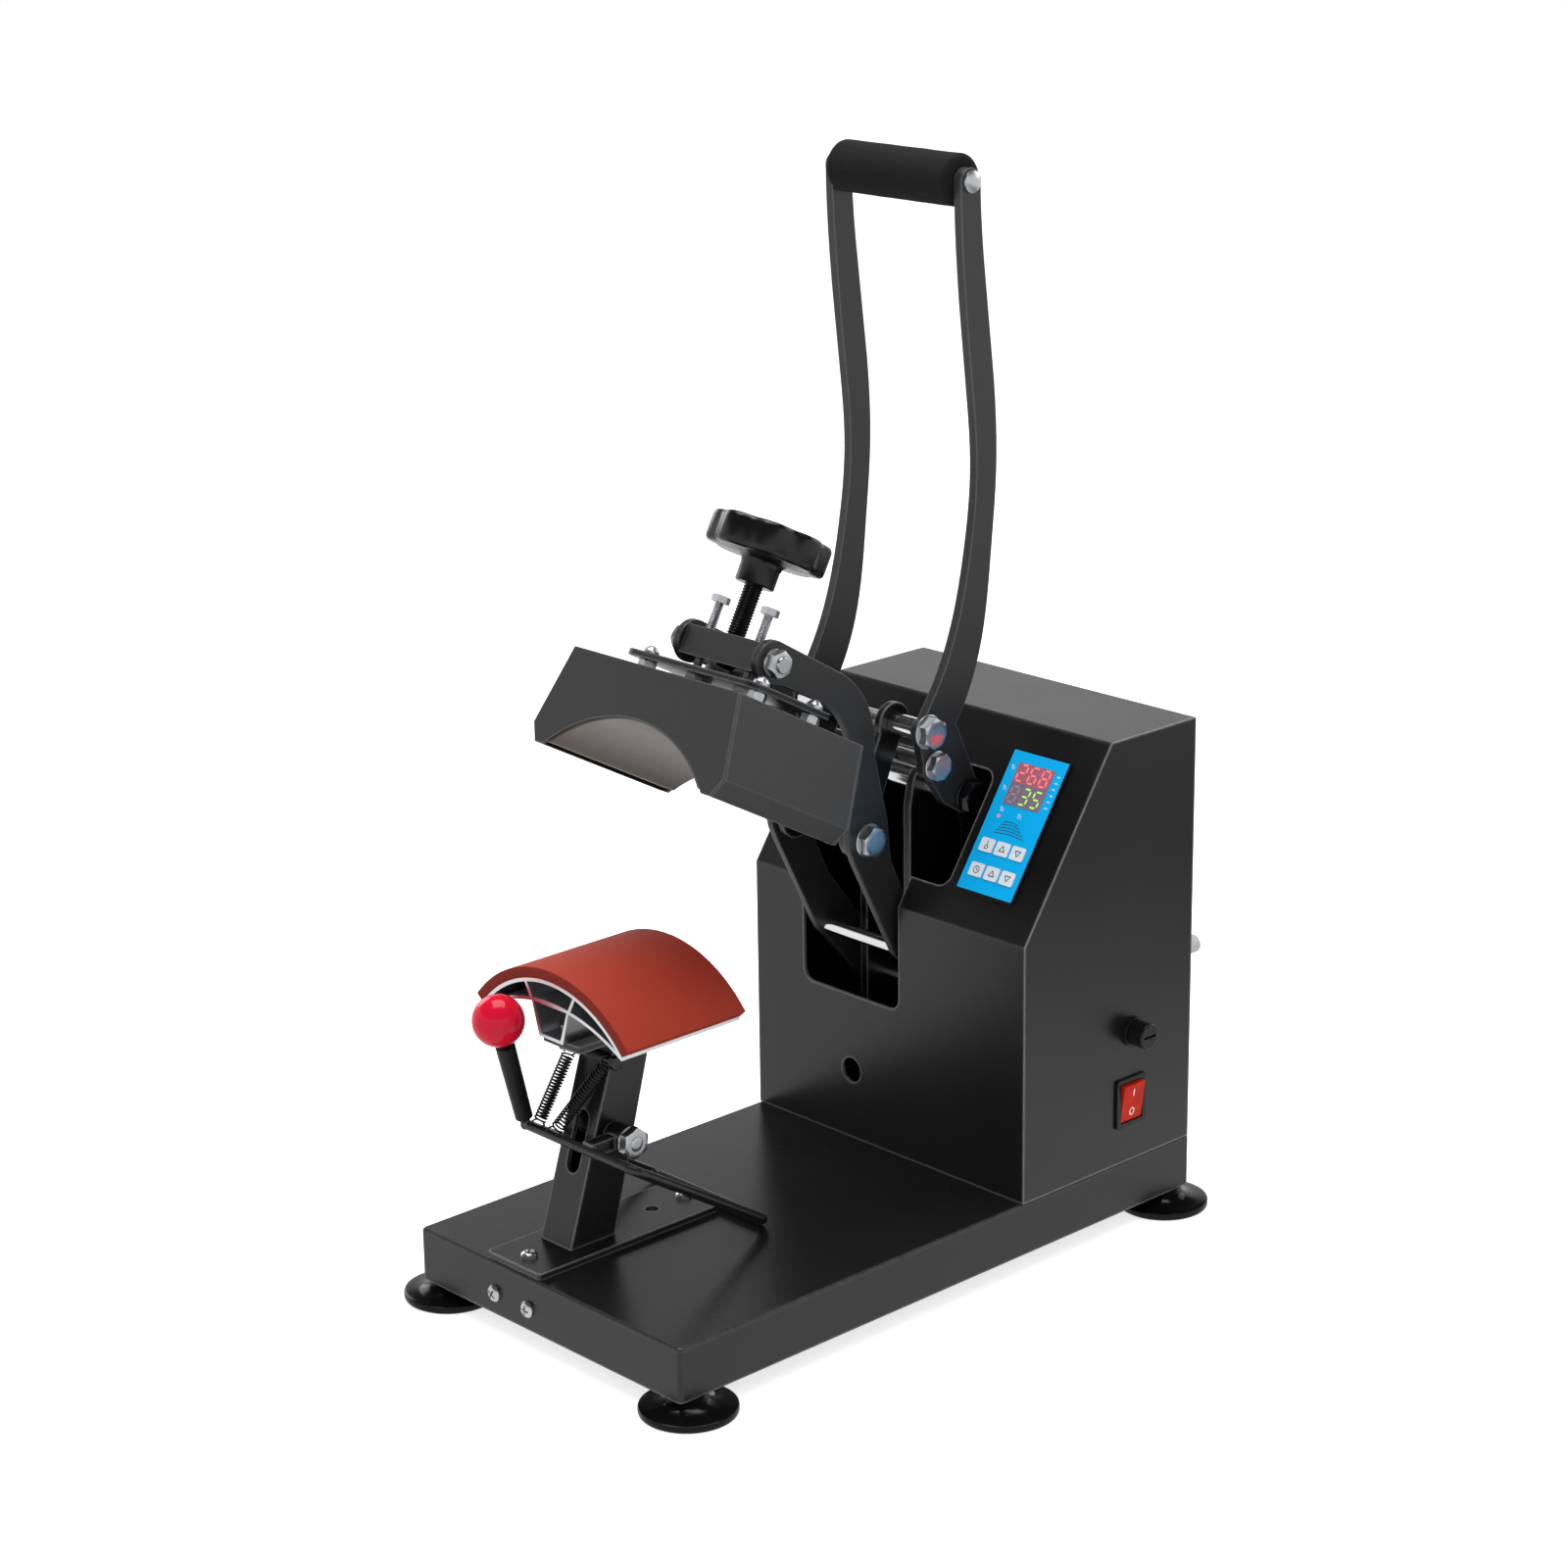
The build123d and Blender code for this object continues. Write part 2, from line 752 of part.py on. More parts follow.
# ---------------------------------------------------------------- hold-down lever
hub_start = post_right + moving_gap
hub_end = hub_start + lever_hub_length
front_rod = (lever_pivot[0] - lever_front_reach, lever_pivot[1] - 0.5)
rear_rod = (lever_pivot[0] + lever_rear_reach, base_top + lever_wire_r + lever_rear_clearance)
ball_centre = Vector(ball_x, front_y + ball_inset, base_top + ball_above_base)
stub_foot = Vector(lever_left + 0.6 * lever_bend_r, front_rod[0], front_rod[1])
stub_line = ball_centre - stub_foot
stub_plane = Plane(origin=stub_foot, z_dir=stub_line)
stub_length = stub_line.length - ball_r + ball_socket

with BuildPart() as lever_rod:
    with BuildLine() as loop:
        FilletPolyline(
            (lever_right, front_rod[0], front_rod[1]),
            (lever_right, rear_rod[0], rear_rod[1]),
            (lever_left, rear_rod[0], rear_rod[1]),
            (lever_left, front_rod[0], front_rod[1]),
            radius=lever_bend_r,
            close=True,
        )
    with BuildSketch(Plane(origin=loop.line @ 0, z_dir=loop.line % 0)):
        Circle(lever_wire_r)
    sweep()
    rod(stub_plane, lever_wire_r, 0, stub_length)
    with Locations(stub_foot):
        Sphere(1.15 * lever_wire_r)
    tube(across(hub_start, lever_pivot), lever_hub_r, lever_bolt_r + running_fit, 0, lever_hub_length)
    lug_length = lever_front_reach - lever_bolt_r - 1
    lug_middle = (front_rod[0] + lug_length / 2, lever_pivot[1])
    with BuildSketch(across(hub_start + 3, lug_middle)) as lug:
        Rectangle(lug_length, lever_lug)
    extrude(lug.sketch, amount=lever_hub_length - 6)
lever_rod.part.label = "lever_rod"
export_step(lever_rod.part, "parts/lever_rod.step")

with BuildPart() as lever_sleeve:
    with BuildSketch(stub_plane.offset(sleeve_start)):
        Circle(sleeve_r)
    with BuildSketch(stub_plane.offset(sleeve_start + sleeve_length)):
        Circle(sleeve_top_r)
    loft()
    bore(stub_plane, lever_wire_r, sleeve_start, sleeve_length)
lever_sleeve.part.label = "lever_sleeve"
export_step(lever_sleeve.part, "parts/lever_sleeve.step")

with BuildPart() as ball_knob:
    with Locations(ball_centre):
        Sphere(ball_r)
    socket_start = stub_line.length - 2 * ball_r
    bore(stub_plane, lever_wire_r + running_fit, socket_start, ball_r + ball_socket)
ball_knob.part.label = "ball_knob"
export_step(ball_knob.part, "parts/ball_knob.step")

with BuildPart() as lever_pivot_bolt:
    bolt_seat = across(hub_end + moving_gap, lever_pivot)
    bolt_reach = post_width + lever_hub_length + 2 * moving_gap
    rod(bolt_seat, lever_bolt_r, -bolt_reach - bolt_head - 2, bolt_reach + bolt_head + 2)
    hexagon(bolt_seat, bolt_flats, 0, bolt_head)
    hexagon(bolt_seat, bolt_flats, -bolt_reach - bolt_head, bolt_head)
lever_pivot_bolt.part.label = "lever_pivot_bolt"
export_step(lever_pivot_bolt.part, "parts/lever_pivot_bolt.step")

pin_reach = post_width / 2 + spring_pin_overhang
with BuildPart() as spring_pin:
    rod(across(post_x, spring_pin_point), spring_pin_r, -pin_reach, 2 * pin_reach)
    hexagon(across(post_x + pin_reach, spring_pin_point), screw_nut_flats, 0, screw_nut_height)
    left_end = across(post_x - pin_reach, spring_pin_point)
    hexagon(left_end, screw_nut_flats, -screw_nut_height, screw_nut_height)
spring_pin.part.label = "spring_pin"
export_step(spring_pin.part, "parts/spring_pin.step")

with BuildPart() as lever_springs:
    spring_half = pin_reach - spring_top_inset
    spring_tops = (post_x - spring_half, post_x + spring_half)
    for bottom_x, top_x in zip(spring_bottoms, spring_tops):
        foot = Vector(bottom_x, front_rod[0], front_rod[1])
        head = Vector(top_x, *spring_pin_point)
        line = head - foot
        along = Plane(origin=foot, z_dir=line)
        coil_start = lever_wire_r + spring_hook
        coil_length = line.length - coil_start - spring_pin_r - spring_hook
        tube(along, spring_r, spring_r - spring_wire, coil_start, coil_length)
        rod(along, spring_wire / 2, lever_wire_r + 0.6, line.length - lever_wire_r - spring_pin_r - 1.2)
        rod(along, spring_r, coil_start, spring_wire)
        rod(along, spring_r, coil_start + coil_length - spring_wire, spring_wire)
lever_springs.part.label = "lever_springs"
export_step(lever_springs.part, "parts/lever_springs.step")

# ---------------------------------------------------------------- console
slant_plane = Plane(
    origin=(0, console_front, console_bend),
    x_dir=(1, 0, 0),
    z_dir=(0, -sin(radians(slant_angle)), cos(radians(slant_angle))),
)
slant_drop = sheet * tan(radians(slant_angle / 2))
notch_x = (notch_left + notch_right) / 2
notch_width = notch_right - notch_left
notch_low = base_top + notch_above_base
slot_x = (slot_left + slot_right) / 2
slot_width = slot_right - slot_left
controller_y = controller_low + controller_length / 2
body_width = controller_width - 2 * controller_body_inset
body_length = controller_length - 2 * controller_body_inset
rocker_point = (rocker_y, base_top + rocker_above_base)
fuse_point = (fuse_y, base_top + fuse_above_base)
rear_screw_x = right_wall - sheet - console_flange / 2
rear_screw_pitch = (console_height - 2 * rear_screw_inset) / (rear_screw_rows - 1)
rear_screw_zs = [base_top + rear_screw_inset + step * rear_screw_pitch for step in range(rear_screw_rows)]
slant_top_y = console_front + console_slant

with BuildPart() as console_shell:
    with BuildSketch(Plane.YZ.offset(-right_wall)):
        face(
            (console_front, base_top),
            (console_front, console_bend),
            (slant_top_y, console_top),
            (console_back, console_top),
            (console_back, base_top),
        )
    extrude(amount=base_width)
    long_edges = console_shell.edges().filter_by(Axis.X)
    outer_bends = long_edges.filter_by(lambda edge: edge.center().Z > base_top + 1)
    fillet(outer_bends.filter_by(lambda edge: edge.center().Y < console_back - 1), bend_r)
    with BuildSketch(Plane.YZ.offset(-right_wall + sheet)):
        face(
            (console_front + sheet, base_top + sheet),
            (console_front + sheet, console_bend - slant_drop / 2),
            (slant_top_y + slant_drop / 2, console_top - sheet),
            (console_back - sheet, console_top - sheet),
            (console_back - sheet, base_top + sheet),
        )
    extrude(amount=base_width - 2 * sheet, mode=Mode.SUBTRACT)
    with BuildSketch(Plane.XY.offset(base_top)):
        with Locations((0, (console_front + console_back) / 2)):
            Rectangle(
                base_width - 2 * sheet - 2 * console_flange,
                console_back - console_front - 2 * sheet - 2 * console_flange,
            )
        with Locations(*[(s * console_screw_x, y) for s in (-1, 1) for y in console_screw_ys]):
            Circle(screw_r + moving_gap)
    extrude(amount=sheet, mode=Mode.SUBTRACT)
    rear_plane = Plane.XZ.offset(-console_back)
    with BuildSketch(rear_plane):
        with Locations((0, base_top + console_height / 2)):
            Rectangle(
                base_width - 2 * sheet - 2 * console_flange,
                console_height - 2 * sheet - 2 * console_flange,
            )
        with Locations(*[(s * rear_screw_x, z) for s in (-1, 1) for z in rear_screw_zs]):
            Circle(screw_r + moving_gap)
        with Locations((gland_x, gland_z)):
            Circle(gland_thread_r + running_fit)
    extrude(amount=sheet, mode=Mode.SUBTRACT)
    with BuildSketch(Plane.XZ.offset(-console_front - 2 * sheet)):
        with Locations((notch_x, notch_low + console_wall_height)):
            RectangleRounded(notch_width, 2 * console_wall_height, notch_corner_r)
        with Locations((notch_x, (notch_low + console_bend + sheet) / 2)):
            Rectangle(3 * base_width, console_bend + sheet - notch_low, mode=Mode.INTERSECT)
    extrude(amount=4 * sheet, mode=Mode.SUBTRACT)
    with BuildSketch(slant_plane.offset(-3 * sheet)):
        with Locations((notch_x, (slot_low - sheet) / 2)):
            Rectangle(notch_width, slot_low + 3 * sheet)
        with Locations((slot_x, (slot_low + slot_high) / 2)):
            RectangleRounded(slot_width, slot_high - slot_low, notch_corner_r)
        with Locations((controller_x, controller_y)):
            Rectangle(body_width + moving_gap, body_length + moving_gap)
    extrude(amount=6 * sheet, mode=Mode.SUBTRACT)
    with BuildSketch(Plane.XZ.offset(-console_front - sheet)):
        with Locations((mech_x, base_top + console_hole_above_base)):
            Circle(console_hole_r)
    extrude(amount=sheet, mode=Mode.SUBTRACT)
    with BuildSketch(across(right_wall - sheet, rocker_point)):
        Rectangle(rocker_body_width + moving_gap, rocker_body_height + moving_gap)
    extrude(amount=sheet, mode=Mode.SUBTRACT)
    bore(across(right_wall - sheet, fuse_point), fuse_body_r + running_fit, 0, sheet)
console_shell.part.label = "console_shell"
export_step(console_shell.part, "parts/console_shell.step")

with BuildPart() as rear_cover:
    with BuildSketch(rear_plane):
        with Locations((0, base_top + console_height / 2)):
            RectangleRounded(base_width - 2 * sheet, console_height - 2 * sheet, base_corner_r)
        with Locations(*[(s * rear_screw_x, z) for s in (-1, 1) for z in rear_screw_zs]):
            Circle(screw_r + moving_gap, mode=Mode.SUBTRACT)
        vent_zs = [console_top - vent_drop - step * vent_pitch for step in range(vent_rows)]
        with Locations(*[(s * vent_x, z) for s in (-1, 1) for z in vent_zs]):
            SlotOverall(vent_length, vent_width, mode=Mode.SUBTRACT)
        with Locations((gland_x, gland_z)):
            Circle(gland_thread_r + running_fit, mode=Mode.SUBTRACT)
    extrude(amount=-rear_cover_thickness)
rear_cover.part.label = "rear_cover"
export_step(rear_cover.part, "parts/rear_cover.step")

with BuildPart() as pan_screws:
    for x in front_screws:
        seat = Plane(origin=(x, front_y, front_screw_height), x_dir=(1, 0, 0), z_dir=(0, -1, 0))
        reach = sheet + stiffener_thickness + screw_nut_height + 1
        pan_screw(seat, reach)
        hexagon(seat, screw_nut_flats, -sheet - stiffener_thickness - screw_nut_height, screw_nut_height)
    for y in stand_screws:
        seat = standing(mech_x, y, plate_top)
        pan_screw(seat, stand_plate_thickness + sheet + screw_nut_height + 1)
        under = -stand_plate_thickness - sheet - screw_nut_height
        hexagon(seat, screw_nut_flats, under, screw_nut_height)
    for side in (-1, 1):
        for y in console_screw_ys:
            seat = standing(side * console_screw_x, y, base_top + sheet)
            pan_screw(seat, 2 * sheet + screw_nut_height + 1)
            hexagon(seat, screw_nut_flats, -2 * sheet - screw_nut_height, screw_nut_height)
        for z in rear_screw_zs:
            rear_seat = (side * rear_screw_x, console_back + rear_cover_thickness, z)
            seat = Plane(origin=rear_seat, x_dir=(1, 0, 0), z_dir=(0, 1, 0))
            pan_screw(seat, rear_cover_thickness + sheet + screw_nut_height)
            under = -rear_cover_thickness - sheet - screw_nut_height
            hexagon(seat, screw_nut_flats, under, screw_nut_height)
pan_screws.part.label = "pan_screws"
export_step(pan_screws.part, "parts/pan_screws.step")

with BuildPart() as cable_gland:
    gland_seat = Plane(
        origin=(gland_x, console_back + rear_cover_thickness, gland_z),
        x_dir=(1, 0, 0),
        z_dir=(0, 1, 0),
    )
    hexagon(gland_seat, gland_flats, 0, gland_nut_height)
    rod(gland_seat, 0.44 * gland_flats, gland_nut_height, gland_length - gland_nut_height)
    rod(gland_seat, gland_thread_r, -gland_inner_length, gland_inner_length)
    lock_nut = -rear_cover_thickness - sheet - screw_nut_height
    hexagon(gland_seat, gland_flats, lock_nut, screw_nut_height)
    bore(gland_seat, gland_bore_r, -gland_inner_length, gland_length + gland_inner_length)
cable_gland.part.label = "cable_gland"
export_step(cable_gland.part, "parts/cable_gland.step")

with BuildPart() as relay_block:
    with BuildSketch(Plane.XY.offset(base_top)):
        with Locations((relay_x, relay_y)):
            Rectangle(relay_width, relay_length)
    extrude(amount=relay_height)
    fillet(relay_block.edges().filter_by(Axis.Z), 3)
    with BuildSketch(Plane.XY.offset(base_top + relay_height)):
        with Locations((relay_x, relay_y)):
            with GridLocations(relay_width / 2, relay_length - 2 * relay_hole_inset, 2, 2):
                Circle(relay_hole_r)
    extrude(amount=-relay_hole_depth, mode=Mode.SUBTRACT)
relay_block.part.label = "relay_block"
export_step(relay_block.part, "parts/relay_block.step")

# ---------------------------------------------------------------- controller
key_columns = [controller_x + step * key_pitch for step in (-1, 0, 1)]
key_places = [(x, u) for u in key_rows for x in key_columns]
film_low = controller_rise - film_thickness
key_floor = film_low - key_travel - 0.9
key_foot = key_floor + key_travel + 0.1

with BuildPart() as controller_housing:
    with BuildSketch(slant_plane):
        with Locations((controller_x, controller_y)):
            RectangleRounded(controller_width, controller_length, 1.5)
    extrude(amount=controller_rise)
    with BuildSketch(slant_plane):
        with Locations((controller_x, controller_y)):
            Rectangle(body_width, body_length)
    extrude(amount=-controller_body_depth)
    with BuildSketch(slant_plane.offset(film_low)):
        with Locations((controller_x, controller_y)):
            Rectangle(controller_width - 2 * controller_bezel, controller_length - 2 * controller_bezel)
    extrude(amount=film_thickness, mode=Mode.SUBTRACT)
    with BuildSketch(slant_plane.offset(film_low - 0.8)):
        with Locations((controller_x, window_up)):
            Rectangle(window_width, window_height)
    extrude(amount=0.8, mode=Mode.SUBTRACT)
    with BuildSketch(slant_plane.offset(key_floor)):
        with Locations(*key_places):
            Rectangle(key_width + 2 * key_play, key_height + 2 * key_play)
    extrude(amount=film_low - key_floor, mode=Mode.SUBTRACT)
controller_housing.part.label = "controller_housing"
export_step(controller_housing.part, "parts/controller_housing.step")

with BuildPart() as controller_film:
    with BuildSketch(slant_plane.offset(film_low)):
        with Locations((controller_x, controller_y)):
            Rectangle(controller_width - 2 * controller_bezel, controller_length - 2 * controller_bezel)
        with Locations((controller_x, window_up)):
            Rectangle(window_width, window_height, mode=Mode.SUBTRACT)
        with Locations(*key_places):
            Rectangle(key_width + 2 * key_play, key_height + 2 * key_play, mode=Mode.SUBTRACT)
    extrude(amount=film_thickness)
controller_film.part.label = "controller_film"
export_step(controller_film.part, "parts/controller_film.step")

with BuildPart() as display_window:
    with BuildSketch(slant_plane.offset(film_low - 0.8)):
        with Locations((controller_x, window_up)):
            Rectangle(window_width, window_height)
    extrude(amount=0.8 + film_thickness + window_rise)
display_window.part.label = "display_window"
export_step(display_window.part, "parts/display_window.step")

key_names = ["temp_key", "temp_up_key", "temp_down_key", "time_key", "time_up_key", "time_down_key"]
for key_name, key_place in zip(key_names, key_places):
    with BuildPart() as key:
        with BuildSketch(slant_plane.offset(key_foot)):
            with Locations(key_place):
                RectangleRounded(key_width, key_height, 1)
        extrude(amount=controller_rise + key_rise - key_foot)
    key.part.label = key_name
    export_step(key.part, f"parts/{key_name}.step")

# ---------------------------------------------------------------- rocker switch and fuse
rocker_pivot_x = right_wall + rocker_frame_rise - rocker_depth
with BuildPart() as rocker_frame:
    with BuildSketch(across(right_wall, rocker_point)):
        RectangleRounded(rocker_frame_width, rocker_frame_height, 2)
    extrude(amount=rocker_frame_rise)
    fillet(rocker_frame.faces().sort_by(Axis.X)[-1].edges(), 0.6)
    with BuildSketch(across(right_wall, rocker_point)):
        Rectangle(rocker_body_width, rocker_body_height)
    extrude(amount=-rocker_body_depth)
    with BuildSketch(across(right_wall - 8, rocker_point)):
        Rectangle(rocker_width + 2 * rocker_gap, rocker_height + 2 * rocker_gap)
    extrude(amount=8 + rocker_frame_rise, mode=Mode.SUBTRACT)
rocker_frame.part.label = "rocker_frame"
export_step(rocker_frame.part, "parts/rocker_frame.step")

with BuildPart() as rocker_switch:
    side_plane = Plane(
        origin=(rocker_pivot_x, rocker_y - rocker_width / 2, rocker_point[1]),
        x_dir=(0, 0, 1),
        z_dir=(0, 1, 0),
    )
    with BuildSketch(side_plane):
        face(
            (-rocker_height / 2, rocker_depth + rocker_low_side - rocker_frame_rise),
            (0, rocker_depth + 0.6),
            (rocker_height / 2, rocker_high_side),
            (rocker_height / 2, -rocker_depth),
            (-rocker_height / 2, -rocker_depth),
        )
    extrude(amount=rocker_width)
rocker_switch.part.label = "rocker_switch"
export_step(rocker_switch.part, "parts/rocker_switch.step")

fuse_plane = across(right_wall, fuse_point)
with BuildPart() as fuse_holder:
    rod(fuse_plane, fuse_flange_r, 0, fuse_flange)
    rod(fuse_plane, fuse_body_r, -fuse_body_length, fuse_body_length)
    hexagon(fuse_plane, 2 * fuse_flange_r - 2, -sheet - 4, 4)
    bore(fuse_plane, fuse_bore_r, -fuse_body_length + 3, fuse_body_length + fuse_flange)
fuse_holder.part.label = "fuse_holder"
export_step(fuse_holder.part, "parts/fuse_holder.step")

with BuildPart() as fuse_cap:
    rod(fuse_plane, fuse_cap_r, fuse_flange + moving_gap, fuse_cap_length)
    fillet(fuse_cap.faces().sort_by(Axis.X)[-1].edges(), 1)
    rod(fuse_plane, fuse_stub_r, fuse_flange + moving_gap - fuse_stub_length, fuse_stub_length)
    with BuildSketch(fuse_plane.offset(fuse_flange + moving_gap + fuse_cap_length)) as slot:
        Rectangle(1.3 * fuse_cap_r, fuse_slot_width)
    extrude(slot.sketch, amount=-2, mode=Mode.SUBTRACT)
fuse_cap.part.label = "fuse_cap"
export_step(fuse_cap.part, "parts/fuse_cap.step")

# ---------------------------------------------------------------- pivots fixed to the base
with BuildPart() as pivot_plates:
    for side in (-1, 1):
        with BuildSketch(layer(side, pivot_plate_inner, pivot_plate_thickness)) as plate:
            face(
                (pivot_plate_front, base_top),
                (pivot_plate_front, C[1] - pivot_chamfer),
                (C[0] - pivot_plate_lobe_r, C[1]),
                (C[0], C[1] + pivot_plate_lobe_r),
                (C[0] + pivot_plate_lobe_r, C[1]),
                (pivot_plate_back, C[1] - 2.5 * pivot_chamfer),
                (pivot_plate_back, base_top),
            )
            with Locations(C):
                Circle(pivot_plate_lobe_r)
        extrude(plate.sketch, amount=pivot_plate_thickness)
        foot_plane = layer(side, pivot_plate_inner + pivot_plate_thickness, pivot_foot)
        with BuildSketch(foot_plane) as foot_section:
            face(
                (pivot_plate_front, base_top),
                (pivot_plate_front, base_top + pivot_foot_thickness),
                (pivot_plate_back, base_top + pivot_foot_thickness),
                (pivot_plate_back, base_top),
            )
        extrude(foot_section.sketch, amount=pivot_foot)
        for y in pivot_bolt_ys:
            foot_hole = standing(mech_x + side * pivot_bolt_x, y, base_top)
            bore(foot_hole, pivot_bolt_r + moving_gap, 0, pivot_foot_thickness)
    for point, radius in ((C, pin_r), (O, arm_shaft_r)):
        bore(outward(1, 0, point), radius + running_fit, -2 * pivot_plate_inner, 4 * pivot_plate_inner)
pivot_plates.part.label = "pivot_plates"
export_step(pivot_plates.part, "parts/pivot_plates.step")

with BuildPart() as pivot_bolts:
    for side in (-1, 1):
        for y in pivot_bolt_ys:
            seat = standing(mech_x + side * pivot_bolt_x, y, base_top + pivot_foot_thickness)
            reach = pivot_foot_thickness + sheet + 2 * screw_nut_height
            hexagon(seat, pivot_bolt_flats, 0, platen_bolt_head)
            rod(seat, pivot_bolt_r, -reach, reach)
            under = -pivot_foot_thickness - sheet - pivot_nut_height
            hexagon(seat, pivot_bolt_flats, under, pivot_nut_height)
pivot_bolts.part.label = "pivot_bolts"
export_step(pivot_bolts.part, "parts/pivot_bolts.step")

with BuildPart() as handle_shaft:
    pin_with_heads(C, pin_r, bar_outer + moving_gap, bolt_flats, bolt_head, washer_r)
handle_shaft.part.label = "handle_shaft"
export_step(handle_shaft.part, "parts/handle_shaft.step")

with BuildPart() as arm_shaft:
    pin_with_heads(O, arm_shaft_r, arm_outer + moving_gap, bolt_flats + 2, bolt_head, washer_r + 1)
arm_shaft.part.label = "arm_shaft"
export_step(arm_shaft.part, "parts/arm_shaft.step")

with BuildPart() as pivot_spacers:
    pivot_plate_outer = pivot_plate_inner + pivot_plate_thickness
    tube(outward(1, 0, C), tube_r, pin_r + running_fit, -pivot_plate_inner, 2 * pivot_plate_inner)
    tube(outward(1, 0, O), tube_r + 2, arm_shaft_r + running_fit, -pivot_plate_inner, 2 * pivot_plate_inner)
    for side in (-1, 1):
        bar_gap = bar_inner - moving_gap - pivot_plate_outer
        tube(outward(side, pivot_plate_outer, C), tube_r, pin_r + running_fit, 0, bar_gap)
        arm_gap = arm_inner - moving_gap - pivot_plate_outer
        tube(outward(side, pivot_plate_outer, O), tube_r + 2, arm_shaft_r + running_fit, 0, arm_gap)
pivot_spacers.part.label = "pivot_spacers"
export_step(pivot_spacers.part, "parts/pivot_spacers.step")

# ---------------------------------------------------------------- upper platen
cover_origin = (mech_x, cover_front_y, base_top + cover_above_base)
tilt = radians(cover_tilt)
cover_top = Plane(origin=cover_origin, x_dir=(1, 0, 0), z_dir=(0, sin(tilt), cos(tilt)))
cover_front = Plane(origin=cover_origin, x_dir=(1, 0, 0), z_dir=(0, -cos(tilt), sin(tilt)))
arch_centre = cover_arch_r + cover_arch_drop
block_centre = block_r + block_drop
block_top_r = block_r + block_thickness
element_r = block_top_r + element_thickness


def tilted(y_along, z_up):
    """A point of the tilted frame as (y, z)."""
    y = cover_origin[1] + y_along * cos(tilt) + z_up * sin(tilt)
    z = cover_origin[2] - y_along * sin(tilt) + z_up * cos(tilt)
    return (y, z)


with BuildPart() as cover_shell:
    with BuildSketch(cover_front.offset(-sheet)):
        face(
            (-cover_top_half, 0),
            (cover_top_half, 0),
            (cover_wide_half, -cover_wide_drop),
            (cover_low_half, -cover_height),
            (-cover_low_half, -cover_height),
            (-cover_wide_half, -cover_wide_drop),
        )
    extrude(amount=-cover_length + 2 * sheet)
    with BuildSketch(cover_front.offset(-sheet)):
        face(
            (-cover_top_half + sheet, -sheet),
            (cover_top_half - sheet, -sheet),
            (cover_wide_half - sheet, -cover_wide_drop),
            (cover_low_half - sheet, -cover_height),
            (-cover_low_half + sheet, -cover_height),
            (-cover_wide_half + sheet, -cover_wide_drop),
        )
    extrude(amount=-cover_length + 2 * sheet, mode=Mode.SUBTRACT)
    standoff_places = [
        (x, standoff_front + step * standoff_spacing)
        for x in (standoff_left, standoff_right)
        for step in (0, 1)
    ]
    with BuildSketch(cover_top.offset(-sheet)):
        with Locations(*standoff_places):
            Circle(standoff_r + moving_gap)
    extrude(amount=sheet, mode=Mode.SUBTRACT)
cover_shell.part.label = "cover_shell"
export_step(cover_shell.part, "parts/cover_shell.step")

with BuildPart() as cover_end_plates:
    for depth in (0, cover_length - sheet):
        with BuildSketch(cover_front.offset(-depth)) as end:
            face(
                (-cover_top_half, 0),
                (cover_top_half, 0),
                (cover_wide_half, -cover_wide_drop),
                (cover_low_half, -cover_height),
                (-cover_low_half, -cover_height),
                (-cover_wide_half, -cover_wide_drop),
            )
            with Locations((0, -arch_centre)):
                Circle(cover_arch_r, mode=Mode.SUBTRACT)
        extrude(end.sketch, amount=-sheet)
cover_end_plates.part.label = "cover_end_plates"
export_step(cover_end_plates.part, "parts/cover_end_plates.step")

inner_length = cover_length - 2 * sheet
with BuildPart() as heating_block:
    with BuildSketch(cover_front.offset(-sheet)):
        with Locations((0, -block_centre)):
            Circle(block_top_r)
            Circle(block_r, mode=Mode.SUBTRACT)
        with Locations((0, -cover_height / 2)):
            Rectangle(2 * cover_wide_half, cover_height - 2 * block_lift, mode=Mode.INTERSECT)
    extrude(amount=-inner_length)
    for place in standoff_places:
        hole = cover_top.shift_origin(cover_top.from_local_coords((place[0], place[1], 0)))
        bore(hole, standoff_r + running_fit, -cover_height, cover_height - block_drop + 15)
heating_block.part.label = "heating_block"
export_step(heating_block.part, "parts/heating_block.step")

with BuildPart() as heating_element:
    element_reach = element_r * sin(radians(element_half_angle))
    with BuildSketch(cover_front.offset(-4 * sheet)):
        with Locations((0, -block_centre)):
            Circle(element_r)
            Circle(block_top_r + running_fit, mode=Mode.SUBTRACT)
        with Locations((0, -cover_height / 2)):
            Rectangle(2 * element_reach, cover_height, mode=Mode.INTERSECT)
    extrude(amount=-inner_length + 6 * sheet)
    for place in standoff_places:
        hole = cover_top.shift_origin(cover_top.from_local_coords((place[0], place[1], 0)))
        bore(hole, standoff_r + 1, -cover_height, cover_height)
heating_element.part.label = "heating_element"
export_step(heating_element.part, "parts/heating_element.step")

with BuildPart() as insulation_pad:
    with BuildSketch(cover_front.offset(-2 * sheet)):
        with Locations((0, -cover_height / 2 - sheet)):
            Rectangle(2 * wool_half, cover_height)
        with Locations((0, -block_centre)):
            Circle(element_r + moving_gap, mode=Mode.SUBTRACT)
    extrude(amount=-inner_length + 2 * sheet)
    for place in standoff_places:
        hole = cover_top.shift_origin(cover_top.from_local_coords((place[0], place[1], 0)))
        bore(hole, standoff_flats / 2 + 1, -cover_height, cover_height)
insulation_pad.part.label = "insulation_pad"
export_step(insulation_pad.part, "parts/insulation_pad.step")

